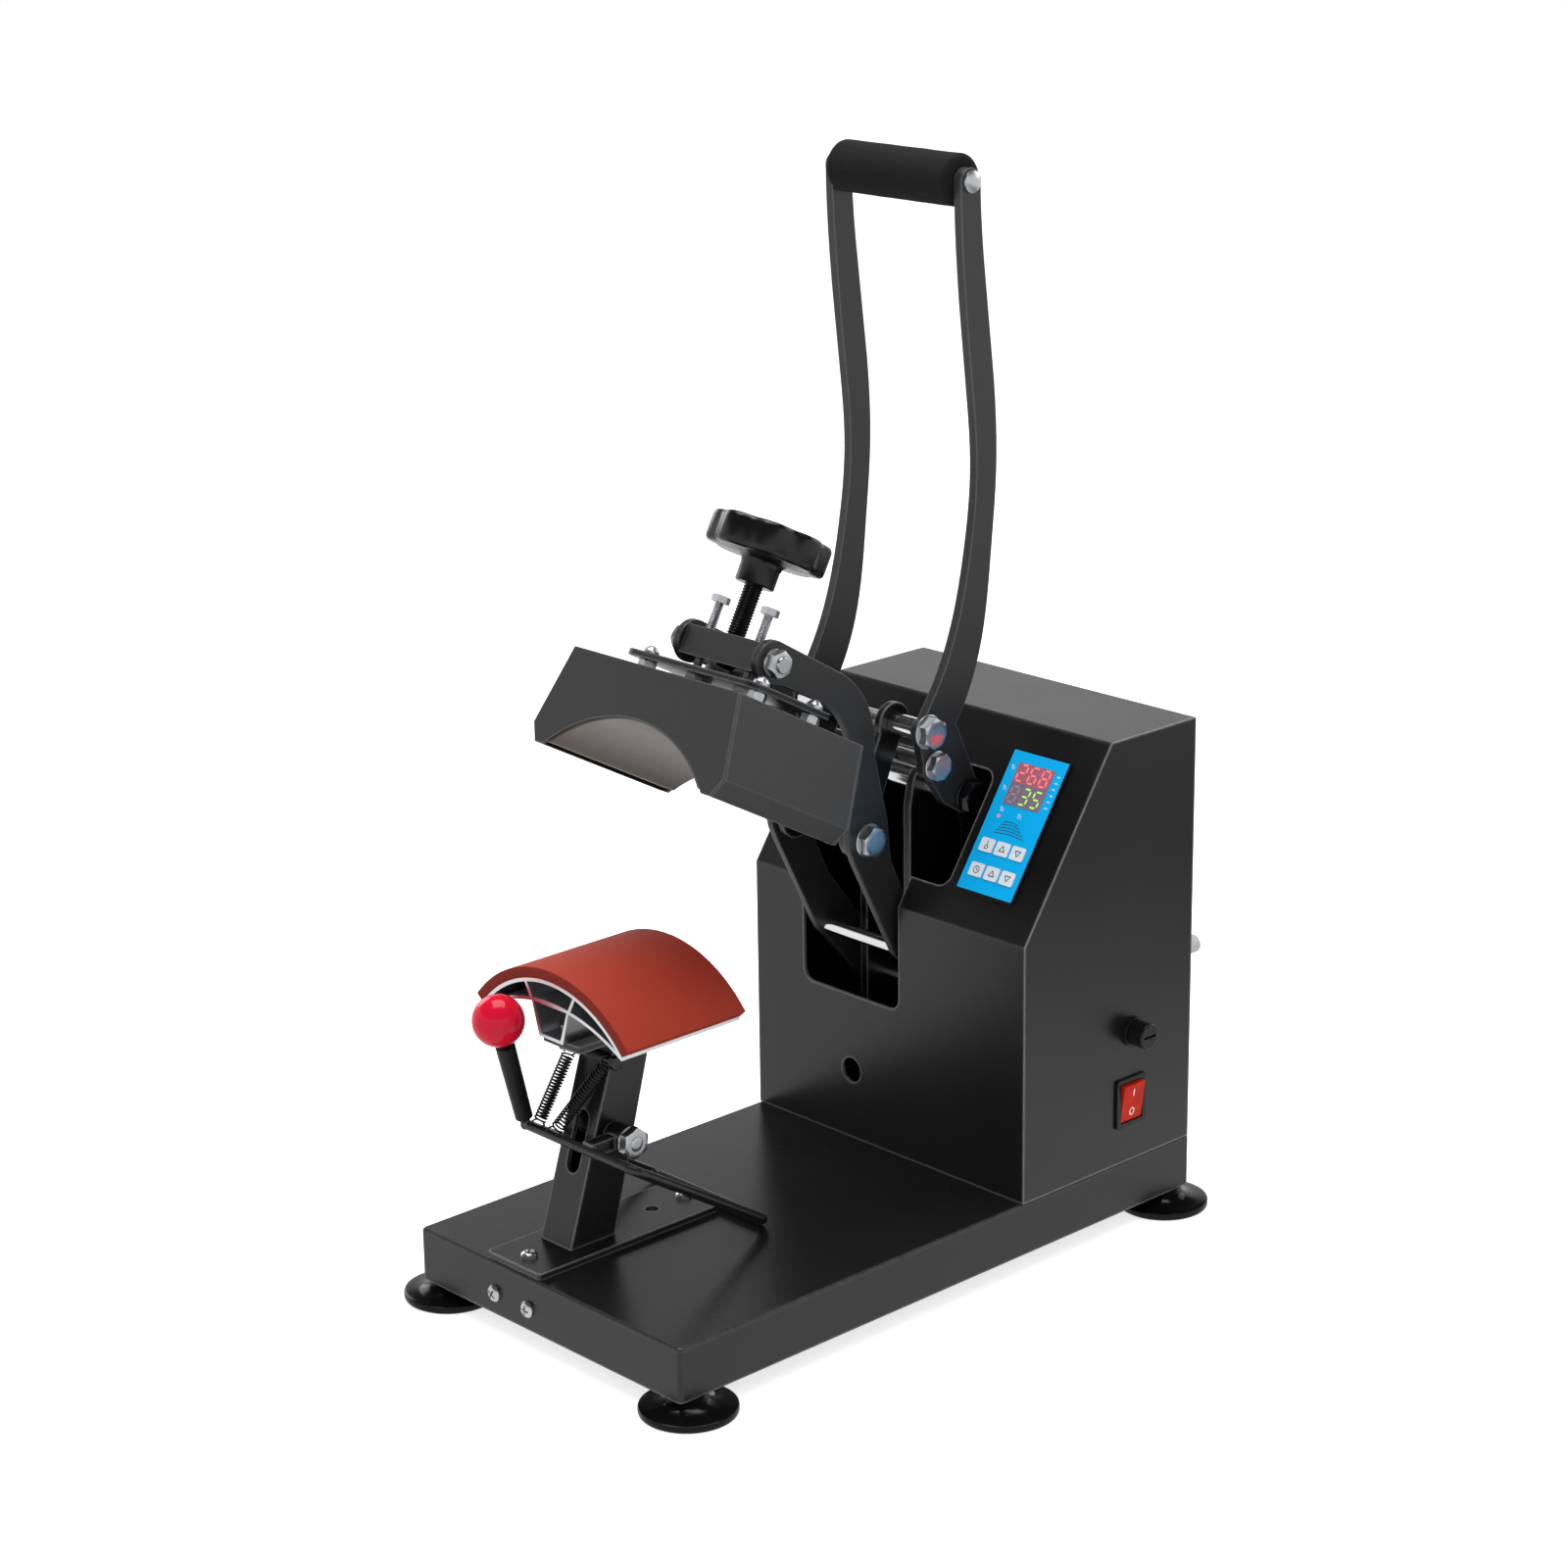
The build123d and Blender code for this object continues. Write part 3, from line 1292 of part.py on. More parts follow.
mount_plate_top = mount_plate_lift + mount_plate_thickness
mount_plate_x = (mount_plate_left + mount_plate_right) / 2
with BuildPart() as mounting_plate:
    with BuildSketch(cover_top.offset(mount_plate_lift)):
        with Locations((mount_plate_x, mount_plate_front + mount_plate_length / 2)):
            RectangleRounded(mount_plate_right - mount_plate_left, mount_plate_length, 10)
        with Locations(*standoff_places):
            Circle(standoff_r + running_fit, mode=Mode.SUBTRACT)
        with Locations((-guide_x, guide_y), (guide_x, guide_y)):
            Circle(guide_r, mode=Mode.SUBTRACT)
    extrude(amount=mount_plate_thickness)
mounting_plate.part.label = "mounting_plate"
export_step(mounting_plate.part, "parts/mounting_plate.step")

with BuildPart() as standoff_bolts:
    for x, y in standoff_places:
        seat = cover_top.shift_origin(cover_top.from_local_coords((x, y, 0)))
        block_surface = sqrt(block_top_r**2 - x**2) - block_centre
        rod(seat, standoff_r, block_surface - 5, mount_plate_top - block_surface + 5 + 3)
        hexagon(seat, standoff_flats, 0, mount_plate_lift)
        rod(seat, dome_nut_r, mount_plate_top, dome_nut_height)
        hexagon(seat, standoff_flats - 1, -sheet - 3, 3)
standoff_bolts.part.label = "standoff_bolts"
export_step(standoff_bolts.part, "parts/standoff_bolts.step")

with BuildPart() as guide_bolts:
    for x in (-guide_x, guide_x):
        seat = cover_top.shift_origin(cover_top.from_local_coords((x, guide_y, 0)))
        rod(seat, guide_r, mount_plate_lift, guide_top - mount_plate_lift)
        hexagon(seat, guide_flats, guide_top, guide_head)
        hexagon(seat, guide_flats, mount_plate_lift - 4, 4)
guide_bolts.part.label = "guide_bolts"
export_step(guide_bolts.part, "parts/guide_bolts.step")

screw_line = cover_top.shift_origin(cover_top.from_local_coords((0, screw_axis, 0)))
with BuildPart() as thrust_collar:
    tube(screw_line, collar_r, pressure_r + running_fit, mount_plate_top, collar_height)
thrust_collar.part.label = "thrust_collar"
export_step(thrust_collar.part, "parts/thrust_collar.step")

with BuildPart() as pressure_screw:
    rod(screw_line, pressure_r, mount_plate_top + moving_gap, knob_low + knob_height - 3 - mount_plate_top)
pressure_screw.part.label = "pressure_screw"
export_step(pressure_screw.part, "parts/pressure_screw.step")

with BuildPart() as star_knob:
    rod(screw_line, hub_r, hub_low, knob_low - hub_low)
    with BuildSketch(screw_line.offset(knob_low)) as star:
        Circle(knob_r)
        with PolarLocations(knob_r + knob_scallop_r - knob_scallop_depth, knob_lobes):
            Circle(knob_scallop_r, mode=Mode.SUBTRACT)
    extrude(star.sketch, amount=knob_height)
    crown = star_knob.faces().sort_by(Axis(screw_line.origin, screw_line.z_dir))[-1]
    fillet(crown.edges(), knob_edge_r)
    bore(screw_line, pressure_r + running_fit, hub_low, knob_low + knob_height - 3 - hub_low + moving_gap)
star_knob.part.label = "star_knob"
export_step(star_knob.part, "parts/star_knob.step")

# ---------------------------------------------------------------- arm
ear = tilted(screw_axis, crossbar_bolt_up)
with BuildPart() as crossbar:
    with BuildSketch(cover_top.offset(crossbar_low)):
        with Locations((0, screw_axis)):
            Rectangle(2 * crossbar_half, crossbar_depth)
            Circle(pressure_r + running_fit, mode=Mode.SUBTRACT)
        with Locations((-guide_x, guide_y), (guide_x, guide_y)):
            Circle(guide_r + moving_gap, mode=Mode.SUBTRACT)
    extrude(amount=crossbar_height)
    for side in (-1, 1):
        bore(outward(side, crossbar_half, ear), pin_r + running_fit, -crossbar_bolt_in, crossbar_bolt_in)
crossbar.part.label = "crossbar"
export_step(crossbar.part, "parts/crossbar.step")

brow = tilted(*arm_brow)
shoulder = tilted(*arm_shoulder)
chin = tilted(*arm_chin)
arm_back = [(D[0] + y, D[1] + z) for y, z in zip(arm_back_ys, arm_back_zs)]
arm_front = [(D[0] + y, D[1] + z) for y, z in zip(arm_front_ys, arm_front_zs)]
with BuildPart() as arm_plates:
    for side in (-1, 1):
        with BuildSketch(layer(side, arm_inner, arm_thickness)) as blank:
            with BuildLine():
                Line(tilted(screw_axis, crossbar_bolt_up + arm_ear_r), brow)
                ThreePointArc(brow, tilted(*arm_crown), shoulder)
                Polyline(
                    shoulder,
                    *arm_back,
                    (O[0] + arm_heel_back, O[1] + arm_heel_high),
                    (O[0] - arm_heel_front, O[1] - arm_heel_low),
                    (O[0] - arm_toe[0], O[1] + arm_toe[1]),
                    *arm_front,
                )
                ThreePointArc(arm_front[-1], tilted(*arm_throat), chin)
                Polyline(
                    chin,
                    tilted(arm_neck, arm_chin[1]),
                    tilted(screw_axis, crossbar_bolt_up - arm_ear_r),
                    tilted(screw_axis, crossbar_bolt_up + arm_ear_r),
                )
            make_face()
            with Locations(ear):
                Circle(arm_ear_r)
            with Locations(D, O):
                Circle(arm_boss_r)
        extrude(blank.sketch, amount=arm_thickness)
    for point, radius in ((ear, pin_r), (D, pin_r), (O, arm_shaft_r)):
        bore(outward(1, 0, point), radius + running_fit, -2 * arm_inner, 4 * arm_inner)
arm_plates.part.label = "arm_plates"
export_step(arm_plates.part, "parts/arm_plates.step")

with BuildPart() as arm_spacer:
    rod(outward(1, 0, row(arm_spacer_place)), arm_spacer_r, -arm_inner, 2 * arm_inner)
arm_spacer.part.label = "arm_spacer"
export_step(arm_spacer.part, "parts/arm_spacer.step")

with BuildPart() as arm_bolts:
    for side in (-1, 1):
        end = outward(side, arm_outer, ear)
        rod(end, pin_r, -arm_thickness - crossbar_bolt_in, arm_thickness + crossbar_bolt_in)
        rod(end, washer_r, 0, washer_thickness)
        hexagon(end, bolt_flats, washer_thickness, bolt_head)
        rod(end, pin_r, washer_thickness + bolt_head, ear_thread_end)
        end = outward(side, arm_outer, D)
        rod(end, pin_r, -arm_thickness, arm_thickness)
        rod(end, washer_r, 0, washer_thickness)
        hexagon(end, bolt_flats, washer_thickness, bolt_head)
arm_bolts.part.label = "arm_bolts"
export_step(arm_bolts.part, "parts/arm_bolts.step")

# ---------------------------------------------------------------- handle
bar_heights = [base_top + height for height in bar_bend_heights]
bar_front = list(zip(bar_front_bends, bar_heights))
bar_back = list(zip(bar_back_bends, bar_heights))
with BuildPart() as handle_bars:
    for side in (-1, 1):
        with BuildSketch(layer(side, bar_inner, bar_thickness)) as bar:
            with BuildLine():
                Spline((G[0] - bar_top_half, G[1]), *reversed(bar_front), (A[0] + 3, A[1] + 15))
                Polyline(
                    (A[0] + 3, A[1] + 15),
                    (A[0] - 7.5, A[1]),
                    (B[0] - 9, B[1]),
                    (C[0] - 20.5, C[1]),
                    (C[0] - 4, C[1] - 10.5),
                    (C[0] + 10.5, C[1] + 3),
                    (A[0] + 25, A[1]),
                )
                Spline((A[0] + 25, A[1]), *bar_back, (G[0] + bar_top_half, G[1]))
                Line((G[0] + bar_top_half, G[1]), (G[0] - bar_top_half, G[1]))
            make_face()
            with Locations(G):
                Circle(bar_top_half)
            with Locations(A):
                Circle(bar_crank_r)
            with Locations(B):
                Circle(bar_cross_r)
            with Locations(C):
                Circle(bar_foot_r)
        extrude(bar.sketch, amount=bar_thickness)
    for point, radius in ((A, pin_r), (B, cross_shaft_r), (C, pin_r), (G, grip_screw_r)):
        bore(outward(1, 0, point), radius + running_fit, -2 * bar_outer, 4 * bar_outer)
handle_bars.part.label = "handle_bars"
export_step(handle_bars.part, "parts/handle_bars.step")

with BuildPart() as handle_bolts:
    pin_with_heads(A, pin_r, bar_outer, bolt_flats, bolt_head, washer_r)
    pin_with_heads(B, cross_shaft_r, bar_outer, bolt_flats - 2, bolt_head - 1, washer_r - 1.5)
handle_bolts.part.label = "handle_bolts"
export_step(handle_bolts.part, "parts/handle_bolts.step")

with BuildPart() as handle_tubes:
    for side in (-1, 1):
        tube_start = link_inner + link_thickness + moving_gap
        tube(outward(side, tube_start, A), tube_r, pin_r + running_fit, 0, bar_inner - tube_start)
handle_tubes.part.label = "handle_tubes"
export_step(handle_tubes.part, "parts/handle_tubes.step")

with BuildPart() as grip_rod:
    rod(outward(1, 0, G), grip_rod_r, -bar_inner, 2 * bar_inner)
    for side in (-1, 1):
        end = outward(side, bar_inner, G)
        rod(end, grip_screw_r, 0, bar_thickness)
        rod(end, grip_screw_head_r, bar_thickness, grip_screw_head)
grip_rod.part.label = "grip_rod"
export_step(grip_rod.part, "parts/grip_rod.step")

with BuildPart() as foam_grip:
    foam_half = bar_inner - grip_end_gap
    tube(outward(1, 0, G), grip_r, grip_rod_r, -foam_half, 2 * foam_half)
    rims = foam_grip.edges().filter_by(GeomType.CIRCLE)
    fillet(rims.filter_by(lambda edge: edge.radius > (grip_r + grip_rod_r) / 2), grip_edge_r)
foam_grip.part.label = "foam_grip"
export_step(foam_grip.part, "parts/foam_grip.step")

# ---------------------------------------------------------------- link
link_angle = degrees(atan2(D[1] - A[1], D[0] - A[0]))
link_length = hypot(D[1] - A[1], D[0] - A[0])
with BuildPart() as link_plates:
    for side in (-1, 1):
        with BuildSketch(layer(side, link_inner, link_thickness)) as link:
            with Locations(((A[0] + D[0]) / 2, (A[1] + D[1]) / 2)):
                Rectangle(link_length, 2 * link_half_width, rotation=link_angle)
            with Locations(A, D):
                Circle(link_end_r)
        extrude(link.sketch, amount=link_thickness)
    for point in (A, D):
        bore(outward(1, 0, point), pin_r + running_fit, -2 * link_inner, 4 * link_inner)
link_plates.part.label = "link_plates"
export_step(link_plates.part, "parts/link_plates.step")
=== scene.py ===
"""Dresses the cap heat press: finishes, fasteners, threads, springs, soft grips and the control panel."""

import json
import logging
import math
import random
from collections.abc import Callable, Iterable, Iterator
from contextlib import contextmanager
from dataclasses import dataclass, field
from enum import Enum

import bmesh
import bpy
from mathutils import Matrix, Vector

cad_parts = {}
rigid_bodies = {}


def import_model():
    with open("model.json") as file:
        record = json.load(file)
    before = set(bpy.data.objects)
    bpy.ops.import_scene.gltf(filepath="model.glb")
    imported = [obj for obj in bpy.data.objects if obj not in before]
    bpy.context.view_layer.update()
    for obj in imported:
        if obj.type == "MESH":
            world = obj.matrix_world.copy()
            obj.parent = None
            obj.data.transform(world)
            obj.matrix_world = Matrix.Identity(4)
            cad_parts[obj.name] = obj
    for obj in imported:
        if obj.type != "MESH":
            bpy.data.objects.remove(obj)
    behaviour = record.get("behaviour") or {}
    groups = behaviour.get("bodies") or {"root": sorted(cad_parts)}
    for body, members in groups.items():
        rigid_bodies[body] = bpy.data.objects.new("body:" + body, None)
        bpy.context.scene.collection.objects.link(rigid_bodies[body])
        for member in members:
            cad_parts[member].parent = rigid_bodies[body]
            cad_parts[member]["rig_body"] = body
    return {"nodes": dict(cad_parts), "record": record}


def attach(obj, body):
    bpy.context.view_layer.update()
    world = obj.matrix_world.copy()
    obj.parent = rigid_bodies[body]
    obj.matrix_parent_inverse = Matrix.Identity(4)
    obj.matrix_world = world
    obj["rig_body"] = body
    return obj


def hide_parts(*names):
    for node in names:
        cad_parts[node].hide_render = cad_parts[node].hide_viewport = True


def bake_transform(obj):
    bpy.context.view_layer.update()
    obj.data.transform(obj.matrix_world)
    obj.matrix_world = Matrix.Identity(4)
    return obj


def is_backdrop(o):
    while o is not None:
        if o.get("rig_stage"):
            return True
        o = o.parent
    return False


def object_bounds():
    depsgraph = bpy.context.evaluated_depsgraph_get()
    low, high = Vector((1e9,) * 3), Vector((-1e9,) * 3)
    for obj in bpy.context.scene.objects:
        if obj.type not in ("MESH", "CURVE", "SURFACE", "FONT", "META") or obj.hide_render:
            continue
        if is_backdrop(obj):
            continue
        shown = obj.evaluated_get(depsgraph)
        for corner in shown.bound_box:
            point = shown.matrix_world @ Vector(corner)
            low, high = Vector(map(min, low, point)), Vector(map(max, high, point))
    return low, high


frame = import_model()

log = logging.getLogger("cap_heat_press")

MM = 0.001
Point = tuple[float, float, float]
Pair = tuple[float, float]
Face = tuple[int, ...]
Piece = bpy.types.Object
Finish = bpy.types.Material

# Which slot of the record each node wears.
SLOTS = {row["node"]: row["material_slot"] for row in frame["record"]["subparts"]}

# The machine's own places, in millimetres. A pivot is given as y and z.
MECH_X = -31.0
BASE_TOP = 45.0
ARM_PIVOT = (115.4, 135.9)
HANDLE_PIVOT = (106.4, 271.1)
CRANK_PIVOT = (72.0, 318.4)
CROSS_PIVOT = (78.6, 296.0)
LINK_PIVOT = (41.6, 253.3)
GRIP_PIVOT = (108.9, 639.4)
STANDOFFS = ((-52, 42), (-52, 89), (43, 42), (43, 89))
HEAD_HEIGHT = 6.5
WASHER = 1.6

RIGHT = Vector((1.0, 0.0, 0.0))
BACK = Vector((0.0, 1.0, 0.0))
UP = Vector((0.0, 0.0, 1.0))


def metres(point: Point) -> Vector:
    """Turns a point in millimetres into a vector in metres."""
    return Vector(point) * MM


def around(steps: int) -> list[float]:
    """The angles of a full turn in even steps, in radians."""
    return [2 * math.pi * step / steps for step in range(steps)]


@dataclass(frozen=True)
class Slope:
    """A plane that rises towards the back by its tilt, in radians, from an origin in mm."""

    origin: Point
    tilt: float

    def at(self, x: float, along: float, out: float) -> Vector:
        """A point on or over the plane.

        Args:
            x: distance to the right of the origin, in mm.
            along: distance up the slope from the origin, in mm.
            out: height above the plane, in mm.

        Returns:
            The point in the row frame, in metres.
        """
        sine, cosine = math.sin(self.tilt), math.cos(self.tilt)
        x0, y0, z0 = self.origin
        return metres((x0 + x, y0 + along * cosine - out * sine, z0 + along * sine + out * cosine))

    def up(self) -> Vector:
        """The direction straight out of the plane."""
        return Vector((0.0, -math.sin(self.tilt), math.cos(self.tilt)))


@dataclass(frozen=True)
class Axis:
    """A line that points turn round: a point on it, its direction, and the side where turns start."""

    at: Vector
    way: Vector
    side: Vector

    def point(self, turn: float, radius: float, height: float) -> Vector:
        """A point near the axis.

        Args:
            turn: its angle from the side, in radians.
            radius: its distance from the axis, in mm.
            height: its distance along the axis, in mm.

        Returns:
            The point in the row frame, in metres.
        """
        across = self.side * math.cos(turn) + self.way.cross(self.side) * math.sin(turn)
        return self.at + (self.way * height + across * radius) * MM

    def rings(self, profile: Iterable[Pair], sides: int) -> list[list[Vector]]:
        """The rings that a profile of radius and height, in mm, draws when it turns."""
        return [[self.point(turn, radius, height) for turn in around(sides)] for radius, height in profile]


COVER = Slope((MECH_X, -91.5, 379.6), math.radians(-28.45))
PANEL = Slope((70.85, 61.5, 207.2), math.atan2(109.2, 74.1))
COVER_UP = COVER.up()


# ---------------------------------------------------------------- node trees
def operator(operation: str, swapped: bool = False) -> Callable[..., "Num"]:
    """Makes a method that adds a Math node.

    Args:
        operation: the node's operation.
        swapped: whether the other value comes before the number itself.

    Returns:
        The method, which takes the other value where the operation has one.
    """
    def result(number: "Num", *other: "Num | float") -> "Num":
        """Adds the node and gives its result."""
        return number.graph.math(operation, *((*other, number) if swapped else (number, *other)))

    return result


class Num:
    """A number in a node tree: sums of these become Math nodes."""

    __add__ = operator("ADD")
    __sub__ = operator("SUBTRACT")
    __rsub__ = operator("SUBTRACT", swapped=True)
    __mul__ = operator("MULTIPLY")
    __truediv__ = operator("DIVIDE")
    __pow__ = operator("POWER")
    __abs__ = operator("ABSOLUTE")
    at_least = operator("MAXIMUM")
    at_most = operator("MINIMUM")

    def __init__(self, graph: "Graph", socket: bpy.types.NodeSocket) -> None:
        """Keeps the number's tree and socket."""
        self.graph, self.socket = graph, socket


class Graph:
    """Adds and links the nodes of one tree."""

    def __init__(self, tree: bpy.types.NodeTree) -> None:
        """Keeps the tree that the nodes go into."""
        self.tree = tree

    def add(self, kind: str, inputs: dict[object, object] | None = None, **settings: object) -> bpy.types.Node:
        """Adds a node.

        Args:
            kind: the node's type name.
            inputs: a socket, a number or a value for each input name or number.
            settings: its attributes, set by name.

        Returns:
            The new node.
        """
        node = self.tree.nodes.new(kind)
        for key, value in settings.items():
            setattr(node, key, value)
        self.feed(node, inputs or {})
        return node

    def feed(self, node: bpy.types.Node, inputs: dict[object, object]) -> None:
        """Gives a node's inputs their links or values.

        Args:
            node: the node.
            inputs: a socket, a number or a value for each input name or number.
        """
        for key, value in inputs.items():
            value = value.socket if isinstance(value, Num) else value
            if isinstance(value, bpy.types.NodeSocket):
                self.tree.links.new(value, node.inputs[key])
            else:
                node.inputs[key].default_value = value

    def numbers(self, node: bpy.types.Node) -> dict[str, Num]:
        """A node's outputs by name, ready for sums."""
        return {socket.name: Num(self, socket) for socket in node.outputs}

    def math(self, operation: str, *values: object) -> Num:
        """Adds a Math node and gives its result."""
        return Num(self, self.add("ShaderNodeMath", dict(enumerate(values)), operation=operation).outputs[0])

    def noise(self, place: object, scale: object, detail: float) -> Num:
        """Adds a Noise texture and gives its grey value."""
        node = self.add("ShaderNodeTexNoise", {"Vector": place, "Scale": scale, "Detail": detail})
        return Num(self, node.outputs["Fac"])

    def ramp(self, value: object, source: Pair, target: Pair) -> Num:
        """Maps a value from one range to another and keeps it inside."""
        return Num(self, self.add("ShaderNodeMapRange", {
            "Value": value, "From Min": source[0], "From Max": source[1], "To Min": target[0], "To Max": target[1],
        }).outputs[0])

    def place(self) -> bpy.types.NodeSocket:
        """The point being shaded, in the object's own coordinates."""
        return self.add("ShaderNodeTexCoord").outputs["Object"]


def new_group(name: str, kind: str, inputs: list[tuple], outputs: list[Pair]) -> tuple[Graph, object, object]:
    """Makes an empty node group with named sockets.

    Args:
        name: the group's name.
        kind: ShaderNodeTree or GeometryNodeTree.
        inputs: name, socket type and starting value of each input.
        outputs: name and socket type of each output.

    Returns:
        The graph, its input node and its output node.
    """
    tree = bpy.data.node_groups.new(name, kind)
    for label, socket, start in inputs:
        made = tree.interface.new_socket(name=label, in_out="INPUT", socket_type=socket)
        if start is not None:
            made.default_value = start
    for label, socket in outputs:
        tree.interface.new_socket(name=label, in_out="OUTPUT", socket_type=socket)
    graph = Graph(tree)
    return graph, graph.add("NodeGroupInput"), graph.add("NodeGroupOutput")


# ---------------------------------------------------------------- shared shader effects
SIZE = "NodeSocketFloat"
SHADER_TREE = "ShaderNodeTree"


class Effect(Enum):
    """The shared shader effects, by the name of their group."""

    EDGE_WEAR_AND_HIGHLIGHT = "edge wear and painted highlight"
    FINE_GRAIN = "fine grain"
    PORES = "pores"


def edge_wear_and_highlight_group() -> None:
    """A mask that is strongest on sharp outside edges, broken up by noise; it marks edge wear and paints highlight
    lines along the edges.
    """
    breakup, gain = 180.0, 6.0
    graph, given, out = new_group(Effect.EDGE_WEAR_AND_HIGHLIGHT.value, SHADER_TREE, [("Radius", SIZE, 0.0006)], [("Mask", SIZE)])
    rounded = graph.add("ShaderNodeBevel", {"Radius": given.outputs["Radius"]}, samples=4)
    flat = graph.add("ShaderNodeNewGeometry")
    turn = graph.add(
        "ShaderNodeVectorMath", {0: rounded.outputs["Normal"], 1: flat.outputs["Normal"]}, operation="DOT_PRODUCT"
    )
    edge = 1.0 - Num(graph, turn.outputs["Value"])
    patchy = edge * (graph.noise(graph.place(), breakup, 3.0) * gain + 1.0)
    graph.feed(out, {"Mask": patchy.at_most(1.0)})


def fine_grain_group() -> None:
    """Two sizes of noise: a slow cloud for tone and a fine one for texture."""
    inputs = [("Fine Scale", SIZE, 900.0), ("Cloud Scale", SIZE, 30.0), ("Stretch", "NodeSocketVector", (1, 1, 1))]
    graph, given, out = new_group(Effect.FINE_GRAIN.value, SHADER_TREE, inputs, [("Fine", SIZE), ("Cloud", SIZE)])
    place = graph.add("ShaderNodeMapping", {"Vector": graph.place(), "Scale": given.outputs["Stretch"]}).outputs[0]
    fine = graph.noise(place, given.outputs["Fine Scale"], 3.0)
    graph.feed(out, {"Fine": fine, "Cloud": graph.noise(place, given.outputs["Cloud Scale"], 4.0)})


def pores_group() -> None:
    """Small round pits of foam and sponge rubber."""
    graph, given, out = new_group(Effect.PORES.value, SHADER_TREE, [("Scale", SIZE, 1200.0)], [("Depth", SIZE)])
    place, scale = graph.place(), given.outputs["Scale"]
    cells = graph.add("ShaderNodeTexVoronoi", {"Vector": place, "Scale": scale})
    depth = Num(graph, cells.outputs["Distance"]) * (graph.noise(place, scale, 2.0) + 0.4)
    graph.feed(out, {"Depth": depth.at_most(1.0)})


def effect(graph: Graph, kind: Effect, inputs: dict[object, object]) -> dict[str, Num]:
    """Places one shared effect in a material and gives its outputs by name."""
    return graph.numbers(graph.add("ShaderNodeGroup", inputs, node_tree=bpy.data.node_groups[kind.value]))


def mixed(graph: Graph, share: object, low: object, high: object) -> bpy.types.NodeSocket:
    """Mixes two colours.

    Args:
        graph: the graph.
        share: how much of the second, from 0 to 1.
        low: the first colour.
        high: the second colour.

    Returns:
        The mixed colour's socket.
    """
    node = graph.add("ShaderNodeMix", data_type="RGBA")
    graph.feed(node, {0: share, 6: low, 7: high})
    return node.outputs[2]


def bumped(graph: Graph, height: object, depth: float, strength: float) -> bpy.types.NodeSocket:
    """Turns a height into a normal, with the height of a full step in metres."""
    return graph.add("ShaderNodeBump", {"Height": height, "Distance": depth, "Strength": strength}).outputs["Normal"]


def rgba(colour: Point) -> tuple[float, float, float, float]:
    """Adds full opacity to a colour."""
    return (*colour, 1.0)


# ---------------------------------------------------------------- finishes
@dataclass(frozen=True)
class Surface:
    """A named finish and its main colour."""

    name: str
    colour: Point

    def material(self) -> Finish:
        """Makes the material and lets the finish fill it in.

        Returns:
            The material.
        """
        made = bpy.data.materials.new(self.name)
        made.use_nodes = True
        graph = Graph(made.node_tree)
        graph.feed(made.node_tree.nodes["Principled BSDF"], self.inputs(graph))
        return made

    def inputs(self, graph: Graph) -> dict[str, object]:
        """The shader's inputs, given by each kind of finish."""
        raise NotImplementedError


@dataclass(frozen=True)
class Coated(Surface):
    """A sprayed or moulded skin: powder coat, plastic, rubber or film."""

    paler: Point
    roughness: float
    spread: float = 0.08
    fine_scale: float = 1100.0
    cloud_scale: float = 24.0
    cloud_share: float = 0.25
    texture: float = 0.12
    depth: float = 0.00012
    edge_share: float = 0.0
    edge_radius: float = 0.0006
    gloss: float = 0.5
    glow: float = 0.0

    def inputs(self, graph: Graph) -> dict[str, object]:
        """A clouded tone, paler on edges for wear and as painted highlight lines, over a fine bump.

        Args:
            graph: the material's graph.

        Returns:
            The shader's inputs.
        """
        grain = effect(graph, Effect.FINE_GRAIN, {"Fine Scale": self.fine_scale, "Cloud Scale": self.cloud_scale})
        tone = grain["Cloud"] * self.cloud_share
        # Painted highlight: the edge mask lightens the colour along edges, partly as edge wear.
        if self.edge_share:
            edge = effect(graph, Effect.EDGE_WEAR_AND_HIGHLIGHT, {"Radius": self.edge_radius})
            tone = (tone + edge["Mask"] * self.edge_share).at_most(1.0)
        colour = mixed(graph, tone, rgba(self.colour), rgba(self.paler))
        made = {
            "Base Color": colour,
            "Roughness": grain["Cloud"] * self.spread + (self.roughness - self.spread / 2),
            "Normal": bumped(graph, grain["Fine"], self.depth, self.texture),
            "Specular IOR Level": self.gloss,
        }
        return {**made, "Emission Color": colour, "Emission Strength": self.glow} if self.glow else made


@dataclass(frozen=True)
class Metal(Surface):
    """A bare or plated metal with streaks or cloudy plating."""

    tint: Point
    roughness: float
    spread: float = 0.14
    stretch: Point = (1.0, 1.0, 1.0)
    fine_scale: float = 700.0
    cloud_scale: float = 60.0
    texture: float = 0.06
    depth: float = 0.00005

    def inputs(self, graph: Graph) -> dict[str, object]:
        """Two metal tones mixed by stretched noise.

        Args:
            graph: the material's graph.

        Returns:
            The shader's inputs.
        """
        grain = effect(graph, Effect.FINE_GRAIN, {
            "Fine Scale": self.fine_scale, "Cloud Scale": self.cloud_scale, "Stretch": self.stretch,
        })
        share = (grain["Fine"] * 0.5 - 0.1 + grain["Cloud"] * 0.5).at_least(0.0)
        return {
            "Base Color": mixed(graph, share, rgba(self.colour), rgba(self.tint)),
            "Metallic": 1.0,
            "Roughness": grain["Fine"] * self.spread + (self.roughness - self.spread / 2),
            "Normal": bumped(graph, grain["Fine"], self.depth, self.texture),
        }


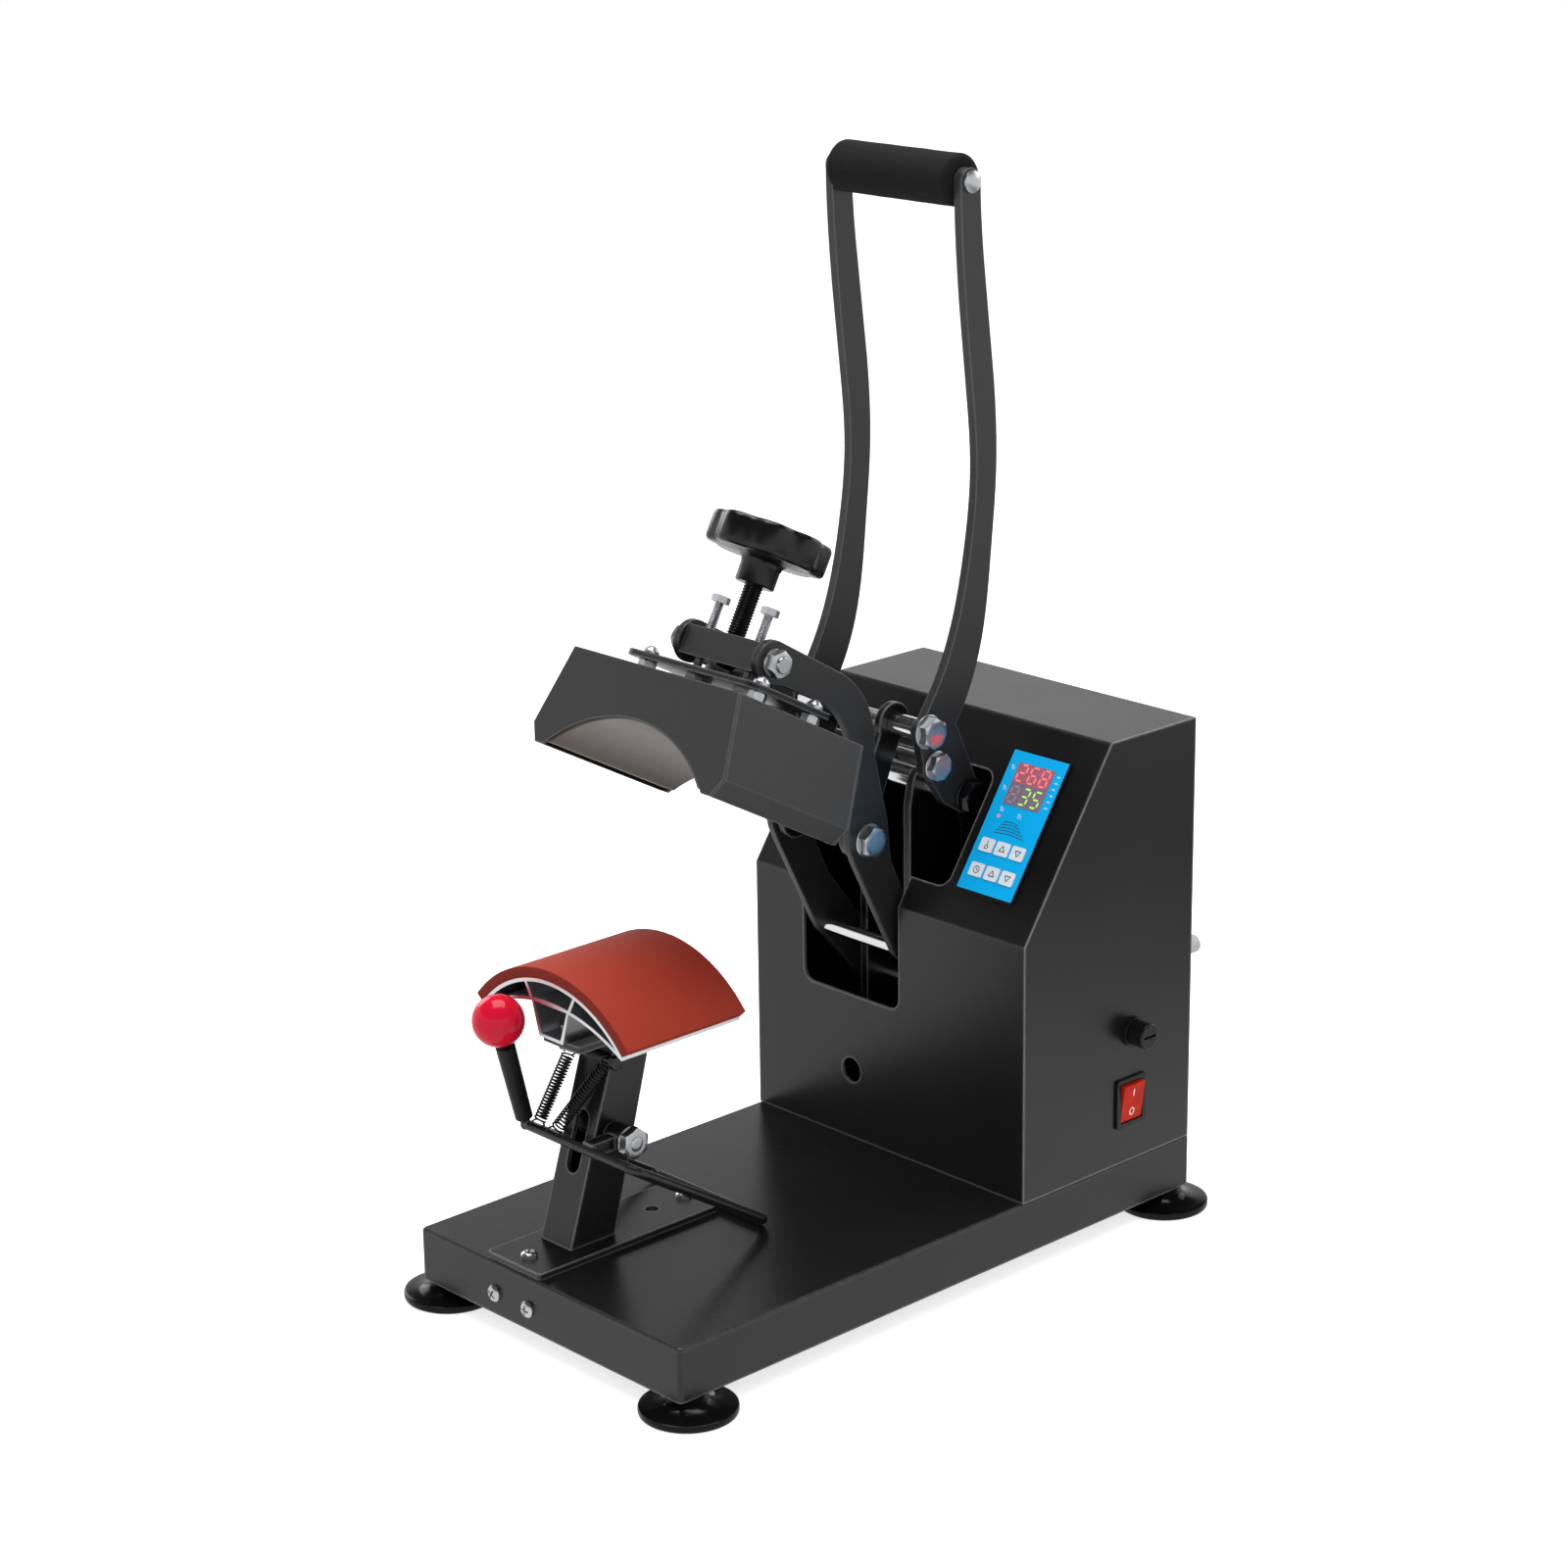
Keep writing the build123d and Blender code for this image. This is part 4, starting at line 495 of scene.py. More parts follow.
@dataclass(frozen=True)
class Porous(Surface):
    """Foam or sponge rubber, with open pores that show more on its cut ends."""

    pit: Point
    cut: Point
    pore_scale: float
    depth: float
    strength: float
    roughness: float
    cut_axis: int = 1

    def inputs(self, graph: Graph) -> dict[str, object]:
        """A skin with darker pits, more of them across the cut axis.

        Args:
            graph: the material's graph.

        Returns:
            The shader's inputs.
        """
        pores = effect(graph, Effect.PORES, {"Scale": self.pore_scale})
        grain = effect(graph, Effect.FINE_GRAIN, {"Fine Scale": 500.0, "Cloud Scale": 14.0})
        facing = graph.add("ShaderNodeSeparateXYZ", {0: graph.add("ShaderNodeTexCoord").outputs["Normal"]})
        cut = abs(Num(graph, facing.outputs[self.cut_axis])) ** 4.0
        skin = mixed(graph, cut * 0.8, rgba(self.colour), rgba(self.cut))
        toned = mixed(graph, grain["Cloud"] * 0.3, skin, rgba(self.pit))
        return {
            "Base Color": mixed(graph, pores["Depth"] * (cut * 0.6 + 0.25), toned, rgba(self.pit)),
            "Roughness": grain["Fine"] * 0.1 + (self.roughness - 0.05),
            "Normal": bumped(graph, pores["Depth"], self.depth, self.strength),
            "Specular IOR Level": 0.13,
        }


@dataclass(frozen=True)
class Lit(Surface):
    """A glowing digit or lamp."""

    strength: float

    def inputs(self, graph: Graph) -> dict[str, object]:
        """A glow that varies a little.

        Args:
            graph: the material's graph.

        Returns:
            The shader's inputs.
        """
        grain = effect(graph, Effect.FINE_GRAIN, {"Fine Scale": 1500.0, "Cloud Scale": 200.0})
        dimmer = tuple(part * 0.75 for part in self.colour)
        colour = mixed(graph, grain["Cloud"], rgba(self.colour), rgba(dimmer))
        return {"Base Color": colour, "Emission Color": colour, "Emission Strength": self.strength, "Roughness": 0.4}


FINISHES: dict[str, Surface] = {
    # Painted highlight: the pale colour at a large edge share draws bright lines along the edges, partly as edge wear.
    "black_steel": Coated(
        "satin black powder coat", (0.0035, 0.0035, 0.0037), (0.26, 0.26, 0.265), 0.28, 0.06, 900.0, 20.0, 0.012,
        0.2, 0.00014, 0.9, 0.0024, gloss=0.44,
    ),
    # Painted highlight: bright lines along the bar edges, partly as edge wear.
    "bar_coat": Coated(
        "textured black bar coat", (0.015, 0.015, 0.0155), (0.20, 0.20, 0.205), 0.4, 0.08, 700.0, 20.0, 0.03,
        0.35, 0.0002, 0.7, 0.0016, gloss=0.5,
    ),
    # Painted highlight: bright lines along the console's folds and edges, partly as edge wear.
    "console_grey": Coated(
        "satin black console coat", (0.0035, 0.0035, 0.0037), (0.30, 0.30, 0.305), 0.29, 0.06, 900.0, 16.0, 0.012,
        0.2, 0.00014, 0.9, 0.0026, gloss=0.46,
    ),
    "zinc": Metal("bright zinc plate", (0.66, 0.67, 0.69), (0.36, 0.375, 0.40), 0.3),
    "bright_tube": Metal(
        "bright drawn tube", (0.84, 0.84, 0.85), (0.66, 0.67, 0.70), 0.14, 0.1, (0.05, 1.0, 1.0), 900.0,
    ),
    "black_oxide": Metal("black oxide steel", (0.07, 0.07, 0.075), (0.03, 0.03, 0.032), 0.34),
    "spring_steel": Metal("dark spring wire", (0.045, 0.045, 0.047), (0.02, 0.02, 0.021), 0.33),
    "aluminium": Metal(
        "extruded aluminium", (0.80, 0.81, 0.82), (0.62, 0.64, 0.66), 0.34, 0.16, (1.0, 0.02, 1.0), 1200.0, 90.0,
        0.1, 0.00006,
    ),
    "cast_block": Coated(
        "taupe cast block", (0.105, 0.088, 0.076), (0.16, 0.138, 0.12), 0.34, 0.1, 500.0, 40.0, 0.7, 0.4, 0.0002,
    ),
    "silicone": Porous(
        "terracotta silicone", (0.38, 0.040, 0.020), (0.18, 0.016, 0.009), (0.22, 0.022, 0.012), 1500.0, 0.0002,
        0.25, 0.62,
    ),
    "foot_rubber": Coated(
        "moulded black rubber", (0.003, 0.003, 0.0032), (0.006, 0.006, 0.0065), 0.16, 0.05, 600.0, 40.0, 0.3, 0.05,
        0.0001, gloss=0.16,
    ),
    "foam": Porous(
        "matt black foam", (0.016, 0.016, 0.017), (0.004, 0.004, 0.004), (0.022, 0.022, 0.023), 1900.0, 0.0003,
        0.5, 0.93, 0,
    ),
    "sleeve": Coated(
        "black lever sleeve", (0.007, 0.007, 0.008), (0.02, 0.02, 0.021), 0.38, 0.1, 900.0, 80.0, 0.4, gloss=0.2,
    ),
    "knob_plastic": Coated(
        "glossy black plastic", (0.004, 0.004, 0.0045), (0.012, 0.012, 0.013), 0.24, 0.05, 300.0, 40.0, 0.4, 0.03,
        0.0001, gloss=0.36,
    ),
    "ball_plastic": Coated(
        "glossy red plastic", (0.62, 0.006, 0.028), (0.70, 0.012, 0.045), 0.1, 0.04, 250.0, 30.0, 0.6, 0.03,
        0.0001, gloss=0.2,
    ),
    # Faint painted highlight along edges, partly as edge wear.
    "black_plastic": Coated(
        "moulded black plastic", (0.006, 0.006, 0.0065), (0.02, 0.02, 0.021), 0.28, 0.08, 1300.0, 60.0, 0.3, 0.12,
        0.0001, 0.15, 0.0003, gloss=0.3,
    ),
    "rocker_red": Coated(
        "lit red plastic", (0.34, 0.002, 0.002), (0.80, 0.05, 0.008), 0.3, 0.05, 300.0, 130.0, 0.6, 0.03, 0.0001,
        gloss=0.08, glow=0.16,
    ),
    # Painted shade: a near-black pored finish for the sheet that darkens the view through the rear vents.
    "painted_vent_shade": Porous(
        "painted shade behind vents", (0.009, 0.009, 0.0095), (0.003, 0.003, 0.003), (0.012, 0.012, 0.012), 1400.0, 0.0003,
        0.4, 0.95,
    ),
    "film_blue": Coated(
        "sky blue panel film", (0.003, 0.40, 0.84), (0.006, 0.45, 0.90), 0.42, 0.06, 1500.0, 60.0, 0.6, 0.06,
        0.00005, gloss=0.06,
    ),
    "key_white": Coated(
        "white panel key", (0.70, 0.76, 0.82), (0.80, 0.85, 0.88), 0.38, 0.06, 1500.0, 90.0, 0.5, 0.05, 0.00005,
    ),
    "lens": Coated(
        "tinted display window", (0.20, 0.155, 0.215), (0.27, 0.20, 0.27), 0.2, 0.04, 900.0, 120.0, 0.4, 0.02,
        0.00005, gloss=0.3,
    ),
    # Painted light: the window round the upper digits glows red, standing in for the light of the lit digits.
    "window_digit_glow": Coated(
        "painted red glow of the upper digits", (0.34, 0.105, 0.15), (0.42, 0.16, 0.21), 0.25, 0.04, 900.0, 160.0, 0.5, 0.02,
        0.00005, gloss=0.3, glow=0.12,
    ),
    "ghost": Coated(
        "unlit display digit", (0.34, 0.27, 0.33), (0.38, 0.30, 0.36), 0.3, 0.04, 900.0, 160.0, 0.5, 0.02, 0.00005,
    ),
    "gland_grey": Coated("pale grey nylon", (0.50, 0.50, 0.48), (0.62, 0.62, 0.60), 0.5),
    "wool": Porous(
        "ceramic wool", (0.80, 0.78, 0.72), (0.58, 0.55, 0.49), (0.84, 0.82, 0.77), 700.0, 0.0006, 0.6, 0.95,
    ),
    "mica": Coated("mica heater band", (0.30, 0.19, 0.10), (0.42, 0.29, 0.17), 0.5, 0.15, 500.0, 70.0, 0.8),
    "pink_paint": Coated("pink paint dab", (0.60, 0.10, 0.13), (0.72, 0.2, 0.22), 0.35, 0.1, 900.0, 300.0, 0.7),
    "mark_white": Coated("white printed mark", (0.80, 0.80, 0.80), (0.9, 0.9, 0.9), 0.5, 0.05, 1500.0, 200.0, 0.5),
    "mark_dark": Coated("dark printed mark", (0.01, 0.03, 0.07), (0.02, 0.05, 0.10), 0.45, 0.05, 1500.0, 200.0, 0.5),
    "digit_red": Lit("red display digit", (1.0, 0.16, 0.15), 0.75),
    "digit_green": Lit("green display digit", (0.42, 0.80, 0.12), 0.6),
}


class Wardrobe:
    """Builds each finish once and hands it out by slot."""

    def __init__(self) -> None:
        """Makes the shared effects."""
        for make in (edge_wear_and_highlight_group, fine_grain_group, pores_group):
            make()
        self._made: dict[str, Finish] = {}

    def get(self, slot: str) -> Finish:
        """The material of a slot, made when first asked for."""
        if slot not in self._made:
            self._made[slot] = FINISHES[slot].material()
        return self._made[slot]


# ---------------------------------------------------------------- meshes
def add_object(name: str, data: bpy.types.ID) -> Piece:
    """Puts a mesh, a light or a camera into the scene under a name.

    Args:
        name: the object's name.
        data: its mesh, light or camera.

    Returns:
        The object.
    """
    made = bpy.data.objects.new(name, data)
    bpy.context.scene.collection.objects.link(made)
    return made


def mesh_from(name: str, points: list[Vector], faces: list[Face]) -> bpy.types.Mesh:
    """Makes a mesh from points and faces.

    Args:
        name: the mesh's name.
        points: its points, in metres.
        faces: the corners of each face, by number.

    Returns:
        The mesh.
    """
    made = bpy.data.meshes.new(name)
    made.from_pydata([tuple(point) for point in points], [], faces)
    made.update()
    return made


@contextmanager
def editing(mesh: bpy.types.Mesh) -> Iterator[bmesh.types.BMesh]:
    """Opens a mesh for edits and then writes them back.

    Args:
        mesh: the mesh.

    Yields:
        The editable copy.
    """
    work = bmesh.new()
    work.from_mesh(mesh)
    yield work
    work.to_mesh(mesh)
    work.free()


def soften(mesh: bpy.types.Mesh, degrees: float) -> None:
    """Shades a mesh smooth, apart from edges sharper than an angle."""
    mesh.shade_smooth()
    mesh.set_sharp_from_angle(angle=math.radians(degrees))


def wear(piece: Piece, finish: Finish) -> None:
    """Gives a piece one finish in place of any that it has."""
    piece.data.materials.clear()
    piece.data.materials.append(finish)


def settle(piece: Piece) -> Piece:
    """Turns a piece with live modifiers into one with a plain mesh.

    Args:
        piece: the piece.

    Returns:
        The same piece.
    """
    graph = bpy.context.evaluated_depsgraph_get()
    graph.update()
    plain = bpy.data.meshes.new_from_object(piece.evaluated_get(graph), depsgraph=graph)
    plain.name = piece.name
    piece.modifiers.clear()
    piece.data = plain
    return piece


@dataclass
class Shape:
    """The points, in metres, and the faces of a mesh in the making."""

    points: list[Vector] = field(default_factory=list)
    faces: list[Face] = field(default_factory=list)

    def band(self, low: int, high: int, sides: int) -> None:
        """Adds the faces between two rings of points.

        Args:
            low: the number of the first ring's first point.
            high: the number of the second ring's first point.
            sides: how many points each ring has.
        """
        for side in range(sides):
            after = (side + 1) % sides
            self.faces.append((low + side, low + after, high + after, high + side))

    def skin(self, rings: list[list[Vector]], capped: bool = True) -> "Shape":
        """Adds a closed surface over rings of points.

        Args:
            rings: the rings, each with the same number of points.
            capped: whether the end rings are filled; otherwise the last ring joins the first.

        Returns:
            The shape itself.
        """
        start, count, sides = len(self.points), len(rings), len(rings[0])
        self.points += [point for ring in rings for point in ring]
        for ring in range(count - capped):
            self.band(start + ring * sides, start + (ring + 1) % count * sides, sides)
        if capped:
            end = len(self.points)
            self.faces += [tuple(range(start, start + sides)), tuple(range(end - sides, end))]
        return self

    def piece(self, name: str, smooth: float = 0.0, weld: float = 0.0) -> Piece:
        """Makes the piece, with its faces pointing outwards.

        Args:
            name: the piece's name.
            smooth: edges sharper than this many degrees stay sharp; at 0 all of them do.
            weld: corners closer than this many mm become one.

        Returns:
            The piece, not yet on a body.
        """
        mesh = mesh_from(name, self.points, self.faces)
        with editing(mesh) as work:
            if weld:
                bmesh.ops.remove_doubles(work, verts=work.verts, dist=weld * MM)
            bmesh.ops.recalc_face_normals(work, faces=work.faces)
        if smooth:
            soften(mesh, smooth)
        return add_object(name, mesh)


def rounded_copy(node: str, width: float, plugged: tuple[Vector, ...] = ()) -> Piece:
    """Copies a node's shape, rounds its sharp edges and keeps its wide faces flat.

    Args:
        node: the node's name.
        width: the rounding's width, in mm.
        plugged: points on the axes of upright holes in the upper platen that are cast shut.

    Returns:
        The rounded piece, not yet on a body.
    """
    weld, hole_reach, rounded_over, sharp_over, flat_weight = 0.004, 3.6, 38.0, 60.0, 80
    mesh = frame["nodes"][node].data.copy()
    with editing(mesh) as work:
        bmesh.ops.remove_doubles(work, verts=work.verts, dist=weld * MM)
        for axis_at in plugged:
            near = {
                corner for corner in work.verts
                if (corner.co - axis_at).cross(COVER_UP).length < hole_reach * MM
            }
            walls = [face for face in work.faces if near.issuperset(face.verts)]
            bmesh.ops.delete(work, geom=walls, context="FACES")
        if plugged:
            bmesh.ops.holes_fill(work, edges=[edge for edge in work.edges if edge.is_boundary], sides=0)
        bmesh.ops.dissolve_limit(work, angle_limit=math.radians(1.0), verts=work.verts, edges=work.edges)
    mesh.materials.clear()
    piece = add_object(node + "_rounded", mesh)
    bevel = piece.modifiers.new("rounding", "BEVEL")
    bevel.width, bevel.segments = width * MM, 2
    bevel.limit_method, bevel.angle_limit = "ANGLE", math.radians(rounded_over)
    bevel.use_clamp_overlap, bevel.harden_normals = True, False
    soften(settle(piece).data, sharp_over)
    weigh = piece.modifiers.new("flat faces", "WEIGHTED_NORMAL")
    weigh.mode, weigh.weight, weigh.keep_sharp = "FACE_AREA", flat_weight, True
    return settle(piece)


# ---------------------------------------------------------------- repeated shapes in Geometry Nodes
SPOT_FACING = "facing"
SPOT_TURN = "turn"


def polar(graph: Graph) -> tuple[Num, Num, Num]:
    """The radius, the angle and the height of each point round Z.

    Args:
        graph: the tree's graph.

    Returns:
        The three numbers.
    """
    split = graph.add("ShaderNodeSeparateXYZ", {0: graph.add("GeometryNodeInputPosition").outputs[0]})
    x, y, z = (Num(graph, socket) for socket in split.outputs)
    return graph.math("SQRT", x * x + y * y), graph.math("ARCTAN2", y, x), z


def reshape(graph: Graph, mesh: object, radius: Num, angle: Num, height: Num) -> object:
    """Moves each point to a new radius and height at its angle.

    Args:
        graph: the tree's graph.
        mesh: the mesh's socket.
        radius: the new radius.
        angle: the point's angle.
        height: the new height.

    Returns:
        The reshaped mesh's socket.
    """
    x, y = radius * graph.math("COSINE", angle), radius * graph.math("SINE", angle)
    place = graph.add("ShaderNodeCombineXYZ", {0: x, 1: y, 2: height}).outputs[0]
    return graph.add("GeometryNodeSetPosition", {"Geometry": mesh, "Position": place}).outputs[0]


def cylinder(graph: Graph, sides: object, rings: object, caps: int) -> object:
    """A cylinder of radius 1 and length 1, with its middle at the origin."""
    return graph.add("GeometryNodeMeshCylinder", {
        "Vertices": sides, "Side Segments": rings, "Fill Segments": caps, "Radius": 1.0, "Depth": 1.0,
    }).outputs["Mesh"]


def joined(graph: Graph, shapes: list[object]) -> object:
    """Joins meshes or curves into one.

    Args:
        graph: the tree's graph.
        shapes: the sockets of the meshes or curves.

    Returns:
        The joined shape's socket.
    """
    node = graph.add("GeometryNodeJoinGeometry")
    for shape in shapes:
        graph.tree.links.new(shape, node.inputs[0])
    return node.outputs[0]


def lifted(graph: Graph, curve: bpy.types.Node, height: Num, tip: float = 0.0) -> object:
    """Tips a curve about X and raises it.

    Args:
        graph: the tree's graph.
        curve: the curve's node.
        height: how far it rises.
        tip: how far it tips first, in radians.

    Returns:
        The moved curve's socket.
    """
    rise = graph.add("ShaderNodeCombineXYZ", {2: height}).outputs[0]
    moved = {"Geometry": curve.outputs[0], "Translation": rise, "Rotation": (tip, 0.0, 0.0)}
    return graph.add("GeometryNodeTransform", moved).outputs[0]


def hex_head(graph: Graph, value: dict[str, Num]) -> object:
    """A chamfered hexagon on a washer with a rounded rim, and a plain bolt end that stands out of it.

    Args:
        graph: the tree's graph.
        value: the tree's sizes and counts by name.

    Returns:
        The shape's socket, with its base at the origin.
    """
    radius, angle, z = polar(graph)
    up, sides, washer = z + 0.5, value["Sides"], value["Washer Thickness"]
    apothem = value["Flats"] * 0.5
    sector = graph.math("WRAP", angle, math.pi / 6, -math.pi / 6)
    reach = radius * (apothem / graph.math("COSINE", sector))
    chamfer = (reach - apothem * 0.97).at_least(0.0) * 0.62
    head = reshape(graph, cylinder(graph, sides, 1, 6), reach, angle, washer + up * (value["Height"] - chamfer))
    rim = value["Washer Radius"] * (abs(z * 2.0) ** 6.0 * -0.035 + 1.0)
    plate = reshape(graph, cylinder(graph, sides, 6, 1), radius * rim, angle, up * washer)
    end_z = washer + value["Height"] * 0.8 + up * (value["End Height"] + value["Height"] * 0.15)
    end_r = value["End Radius"] * (up ** 8.0 * -0.12 + 1.0)
    end = reshape(graph, cylinder(graph, sides, 8, 2), radius * end_r, angle, end_z)
    return joined(graph, [head, plate, end])


def thread(graph: Graph, value: dict[str, Num]) -> object:
    """A threaded rod whose ridge climbs one pitch a turn, with tapered ends.

    Args:
        graph: the tree's graph.
        value: the tree's sizes and counts by name.

    Returns:
        The shape's socket, with its base at the origin.
    """
    radius, angle, z = polar(graph)
    along = (z + 0.5) * value["Length"]
    turns = along / value["Pitch"] - angle / (2 * math.pi)
    groove = graph.math("PINGPONG", turns, 0.5) * 2.0 * value["Ridge"]
    taper = (value["Pitch"] - along.at_most(value["Length"] - along)).at_least(0.0)
    bar = value["Radius"] - groove - taper * 0.4
    return reshape(graph, cylinder(graph, value["Sides"], value["Rings"], 1), radius * bar, angle, along)


def plain_pin(graph: Graph, value: dict[str, Num]) -> object:
    """A plain round pin or turned button with a domed outer end.

    Args:
        graph: the tree's graph.
        value: the tree's sizes and counts by name.

    Returns:
        The shape's socket, with its base at the origin.
    """
    radius, angle, z = polar(graph)
    up = z + 0.5
    height = up * value["Length"] - radius * radius * up * value["Dome"]
    return reshape(graph, cylinder(graph, value["Sides"], 2, 8), radius * value["Radius"], angle, height)


def pan_head(graph: Graph, value: dict[str, Num]) -> object:
    """A domed screw head with a cross recess.

    Args:
        graph: the tree's graph.
        value: the tree's sizes and counts by name.

    Returns:
        The shape's socket, with its base at the origin.
    """
    wall_steepness, cross_reach, end_steepness = 9000.0, 0.6, 12.0
    radius, angle, z = polar(graph)
    square = radius * radius
    crown = value["Height"] * (1.0 - square * square * 0.55)
    nearest = abs(graph.math("SINE", angle)).at_most(abs(graph.math("COSINE", angle)))
    wall = value["Slot"] * 0.5 - radius * value["Radius"] * nearest
    inside = (wall * wall_steepness).at_least(0.0).at_most(1.0)
    near = ((cross_reach - radius) * end_steepness).at_least(0.0).at_most(1.0)
    height = (z + 0.5) * (crown - inside * near * value["Depth"])
    return reshape(graph, cylinder(graph, value["Sides"], 2, 14), radius * value["Radius"], angle, height)


def coil(graph: Graph, value: dict[str, Num]) -> object:
    """A close-wound extension spring with a round hook at each end.

    Args:
        graph: the tree's graph.
        value: the tree's sizes and counts by name.

    Returns:
        The shape's socket, with its base at the origin.
    """
    hook, length, half_hook = value["Hook"], value["Length"], value["Hook"] * 0.5
    helix = graph.add("GeometryNodeCurveSpiral", {
        "Resolution": value["Steps"], "Rotations": value["Turns"], "Start Radius": value["Radius"],
        "End Radius": value["Radius"], "Height": length - hook * 2.0,
    })
    curves = [lifted(graph, helix, hook)]
    for at, start in ((half_hook, 115), (length - half_hook, -65)):
        arc = graph.add("GeometryNodeCurveArc", {
            "Resolution": 24, "Radius": half_hook, "Start Angle": math.radians(start), "Sweep Angle": math.radians(300),
        }, mode="RADIUS")
        curves.append(lifted(graph, arc, at, math.pi / 2))
    section = {"Resolution": 8, "Radius": value["Wire Radius"]}
    ring = graph.add("GeometryNodeCurvePrimitiveCircle", section, mode="RADIUS").outputs[0]
    wire = {"Curve": joined(graph, curves), "Profile Curve": ring, "Fill Caps": True}
    return graph.add("GeometryNodeCurveToMesh", wire).outputs[0]


@dataclass(frozen=True)
class Recipe:
    """How a repeated shape grows, with the starting values of its sizes, in mm, and of its counts."""

    grow: Callable[[Graph, dict[str, Num]], object]
    sizes: dict[str, float]
    counts: dict[str, int]


class Repeat(Enum):
    """The repeated shapes, by the name of their tree."""

    HEX_HEAD = "hex head"
    THREAD = "thread"
    PLAIN_PIN = "plain pin"
    PAN_HEAD = "pan head"
    COIL = "coil"


RECIPES = {
    Repeat.HEX_HEAD: Recipe(hex_head, {
        "Flats": 17.0, "Height": 6.5, "Washer Radius": 10.5, "Washer Thickness": 1.6, "End Radius": 5.0,
        "End Height": 0.0,
    }, {"Sides": 72}),
    Repeat.THREAD: Recipe(thread, {"Radius": 6.0, "Length": 90.0, "Pitch": 1.75, "Ridge": 0.9}, {
        "Rings": 400, "Sides": 32,
    }),
    Repeat.PLAIN_PIN: Recipe(plain_pin, {"Radius": 5.0, "Length": 50.0, "Dome": 0.0}, {"Sides": 48}),
    Repeat.PAN_HEAD: Recipe(pan_head, {"Radius": 5.0, "Height": 3.2, "Slot": 1.2, "Depth": 1.6}, {"Sides": 48}),
    Repeat.COIL: Recipe(coil, {"Radius": 3.5, "Wire Radius": 0.4, "Length": 50.0, "Hook": 7.0}, {
        "Turns": 20, "Steps": 20,
    }),
}


def tree_of(kind: Repeat) -> bpy.types.NodeTree:
    """The tree that puts a copy of a shape on each spot, made when first asked for.

    Args:
        kind: which shape.

    Returns:
        The Geometry Nodes tree.
    """
    if kind.value in bpy.data.node_groups:
        return bpy.data.node_groups[kind.value]
    recipe = RECIPES[kind]
    inputs = [("Spots", "NodeSocketGeometry", None), ("Finish", "NodeSocketMaterial", None)]
    inputs += [(label, SIZE, start * MM) for label, start in recipe.sizes.items()]
    inputs += [(label, "NodeSocketInt", start) for label, start in recipe.counts.items()]
    graph, given, out = new_group(kind.value, "GeometryNodeTree", inputs, [("Shape", "NodeSocketGeometry")])
    value = graph.numbers(given)
    named = "GeometryNodeInputNamedAttribute"
    facing = graph.add(named, {"Name": SPOT_FACING}, data_type="FLOAT_VECTOR").outputs["Attribute"]
    turn = graph.add(named, {"Name": SPOT_TURN}, data_type="FLOAT").outputs["Attribute"]
    aim = graph.add("FunctionNodeAlignRotationToVector", {"Vector": facing}, axis="Z").outputs[0]
    about = graph.add("FunctionNodeAxisAngleToRotation", {"Axis": (0.0, 0.0, 1.0), "Angle": turn}).outputs[0]
    spin = graph.add("FunctionNodeRotateRotation", {0: aim, 1: about}, rotation_space="LOCAL").outputs[0]
    copies = graph.add("GeometryNodeInstanceOnPoints", {
        "Points": value["Spots"], "Instance": recipe.grow(graph, value), "Rotation": spin,
    })
    real = graph.add("GeometryNodeRealizeInstances", {0: copies.outputs[0]})
    dressed = graph.add("GeometryNodeSetMaterial", {"Geometry": real.outputs[0], "Material": value["Finish"]})
    graph.feed(out, {"Shape": dressed.outputs[0]})
    return graph.tree


@dataclass(frozen=True)
class Spot:
    """Where one copy stands, which way it faces and how far it turns about that, in radians."""

    at: Vector
    facing: Vector
    turn: float = 0.0


def side_spots(point: Pair, distance: float, turn: float = 0.0, middle: float = MECH_X) -> list[Spot]:
    """The right and the left spot at a distance from a plane across the machine, facing outwards."""
    return [Spot(metres((middle + side * distance, *point)), RIGHT * side, turn + side) for side in (1, -1)]


def merged(name: str, pieces: list[Piece]) -> Piece:
    """Joins pieces of one finish into a single piece.

    Args:
        name: the joined piece's name.
        pieces: the pieces, which are removed.

    Returns:
        The joined piece.
    """
    finish = pieces[0].data.materials[0]
    mesh = bpy.data.meshes.new(name)
    with editing(mesh) as work:
        for piece in pieces:
            work.from_mesh(piece.data)
            bpy.data.objects.remove(piece)
    mesh.materials.append(finish)
    return add_object(name, mesh)


# ---------------------------------------------------------------- sub-assemblies
@dataclass
class Dresser:
    """Gives pieces their finish and body, logs their slot, and counts them."""

    wardrobe: Wardrobe
    count: int = 0

    def dress(
        self, piece: Piece, body: str, slot: str, finish: str | None = None, replaces: tuple[str, ...] = ()
    ) -> Piece:
        """Finishes one piece.

        Args:
            piece: the piece, in place.
            body: the body it moves with.
            slot: the record's slot.
            finish: the finish, where it isn't the slot's own.
            replaces: the nodes it stands for.

        Returns:
            The same piece.
        """
        if finish or not piece.data.materials:
            wear(piece, self.wardrobe.get(finish or slot))
        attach(piece, body)
        if replaces:
            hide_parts(*replaces)
        self.count += 1
        log.info("%s rides on %s in %s", piece.name, body, slot)
        return piece


@dataclass(frozen=True)
class Hex:
    """The sizes of a hexagon on a washer, with a bolt end that may stand out of it, in mm."""

    flats: float
    height: float
    collar: float
    thick: float = WASHER
    end_radius: float = 5.0
    end_height: float = 0.0
    sides: int = 72


def small_hex(height: float, thick: float = 0.05, end_radius: float = 1.0, end_height: float = 0.0) -> Hex:
    """The hexagon of a 6 mm bolt, with hardly any washer."""
    return Hex(10.0, height, 4.9, thick, end_radius, end_height, 48)


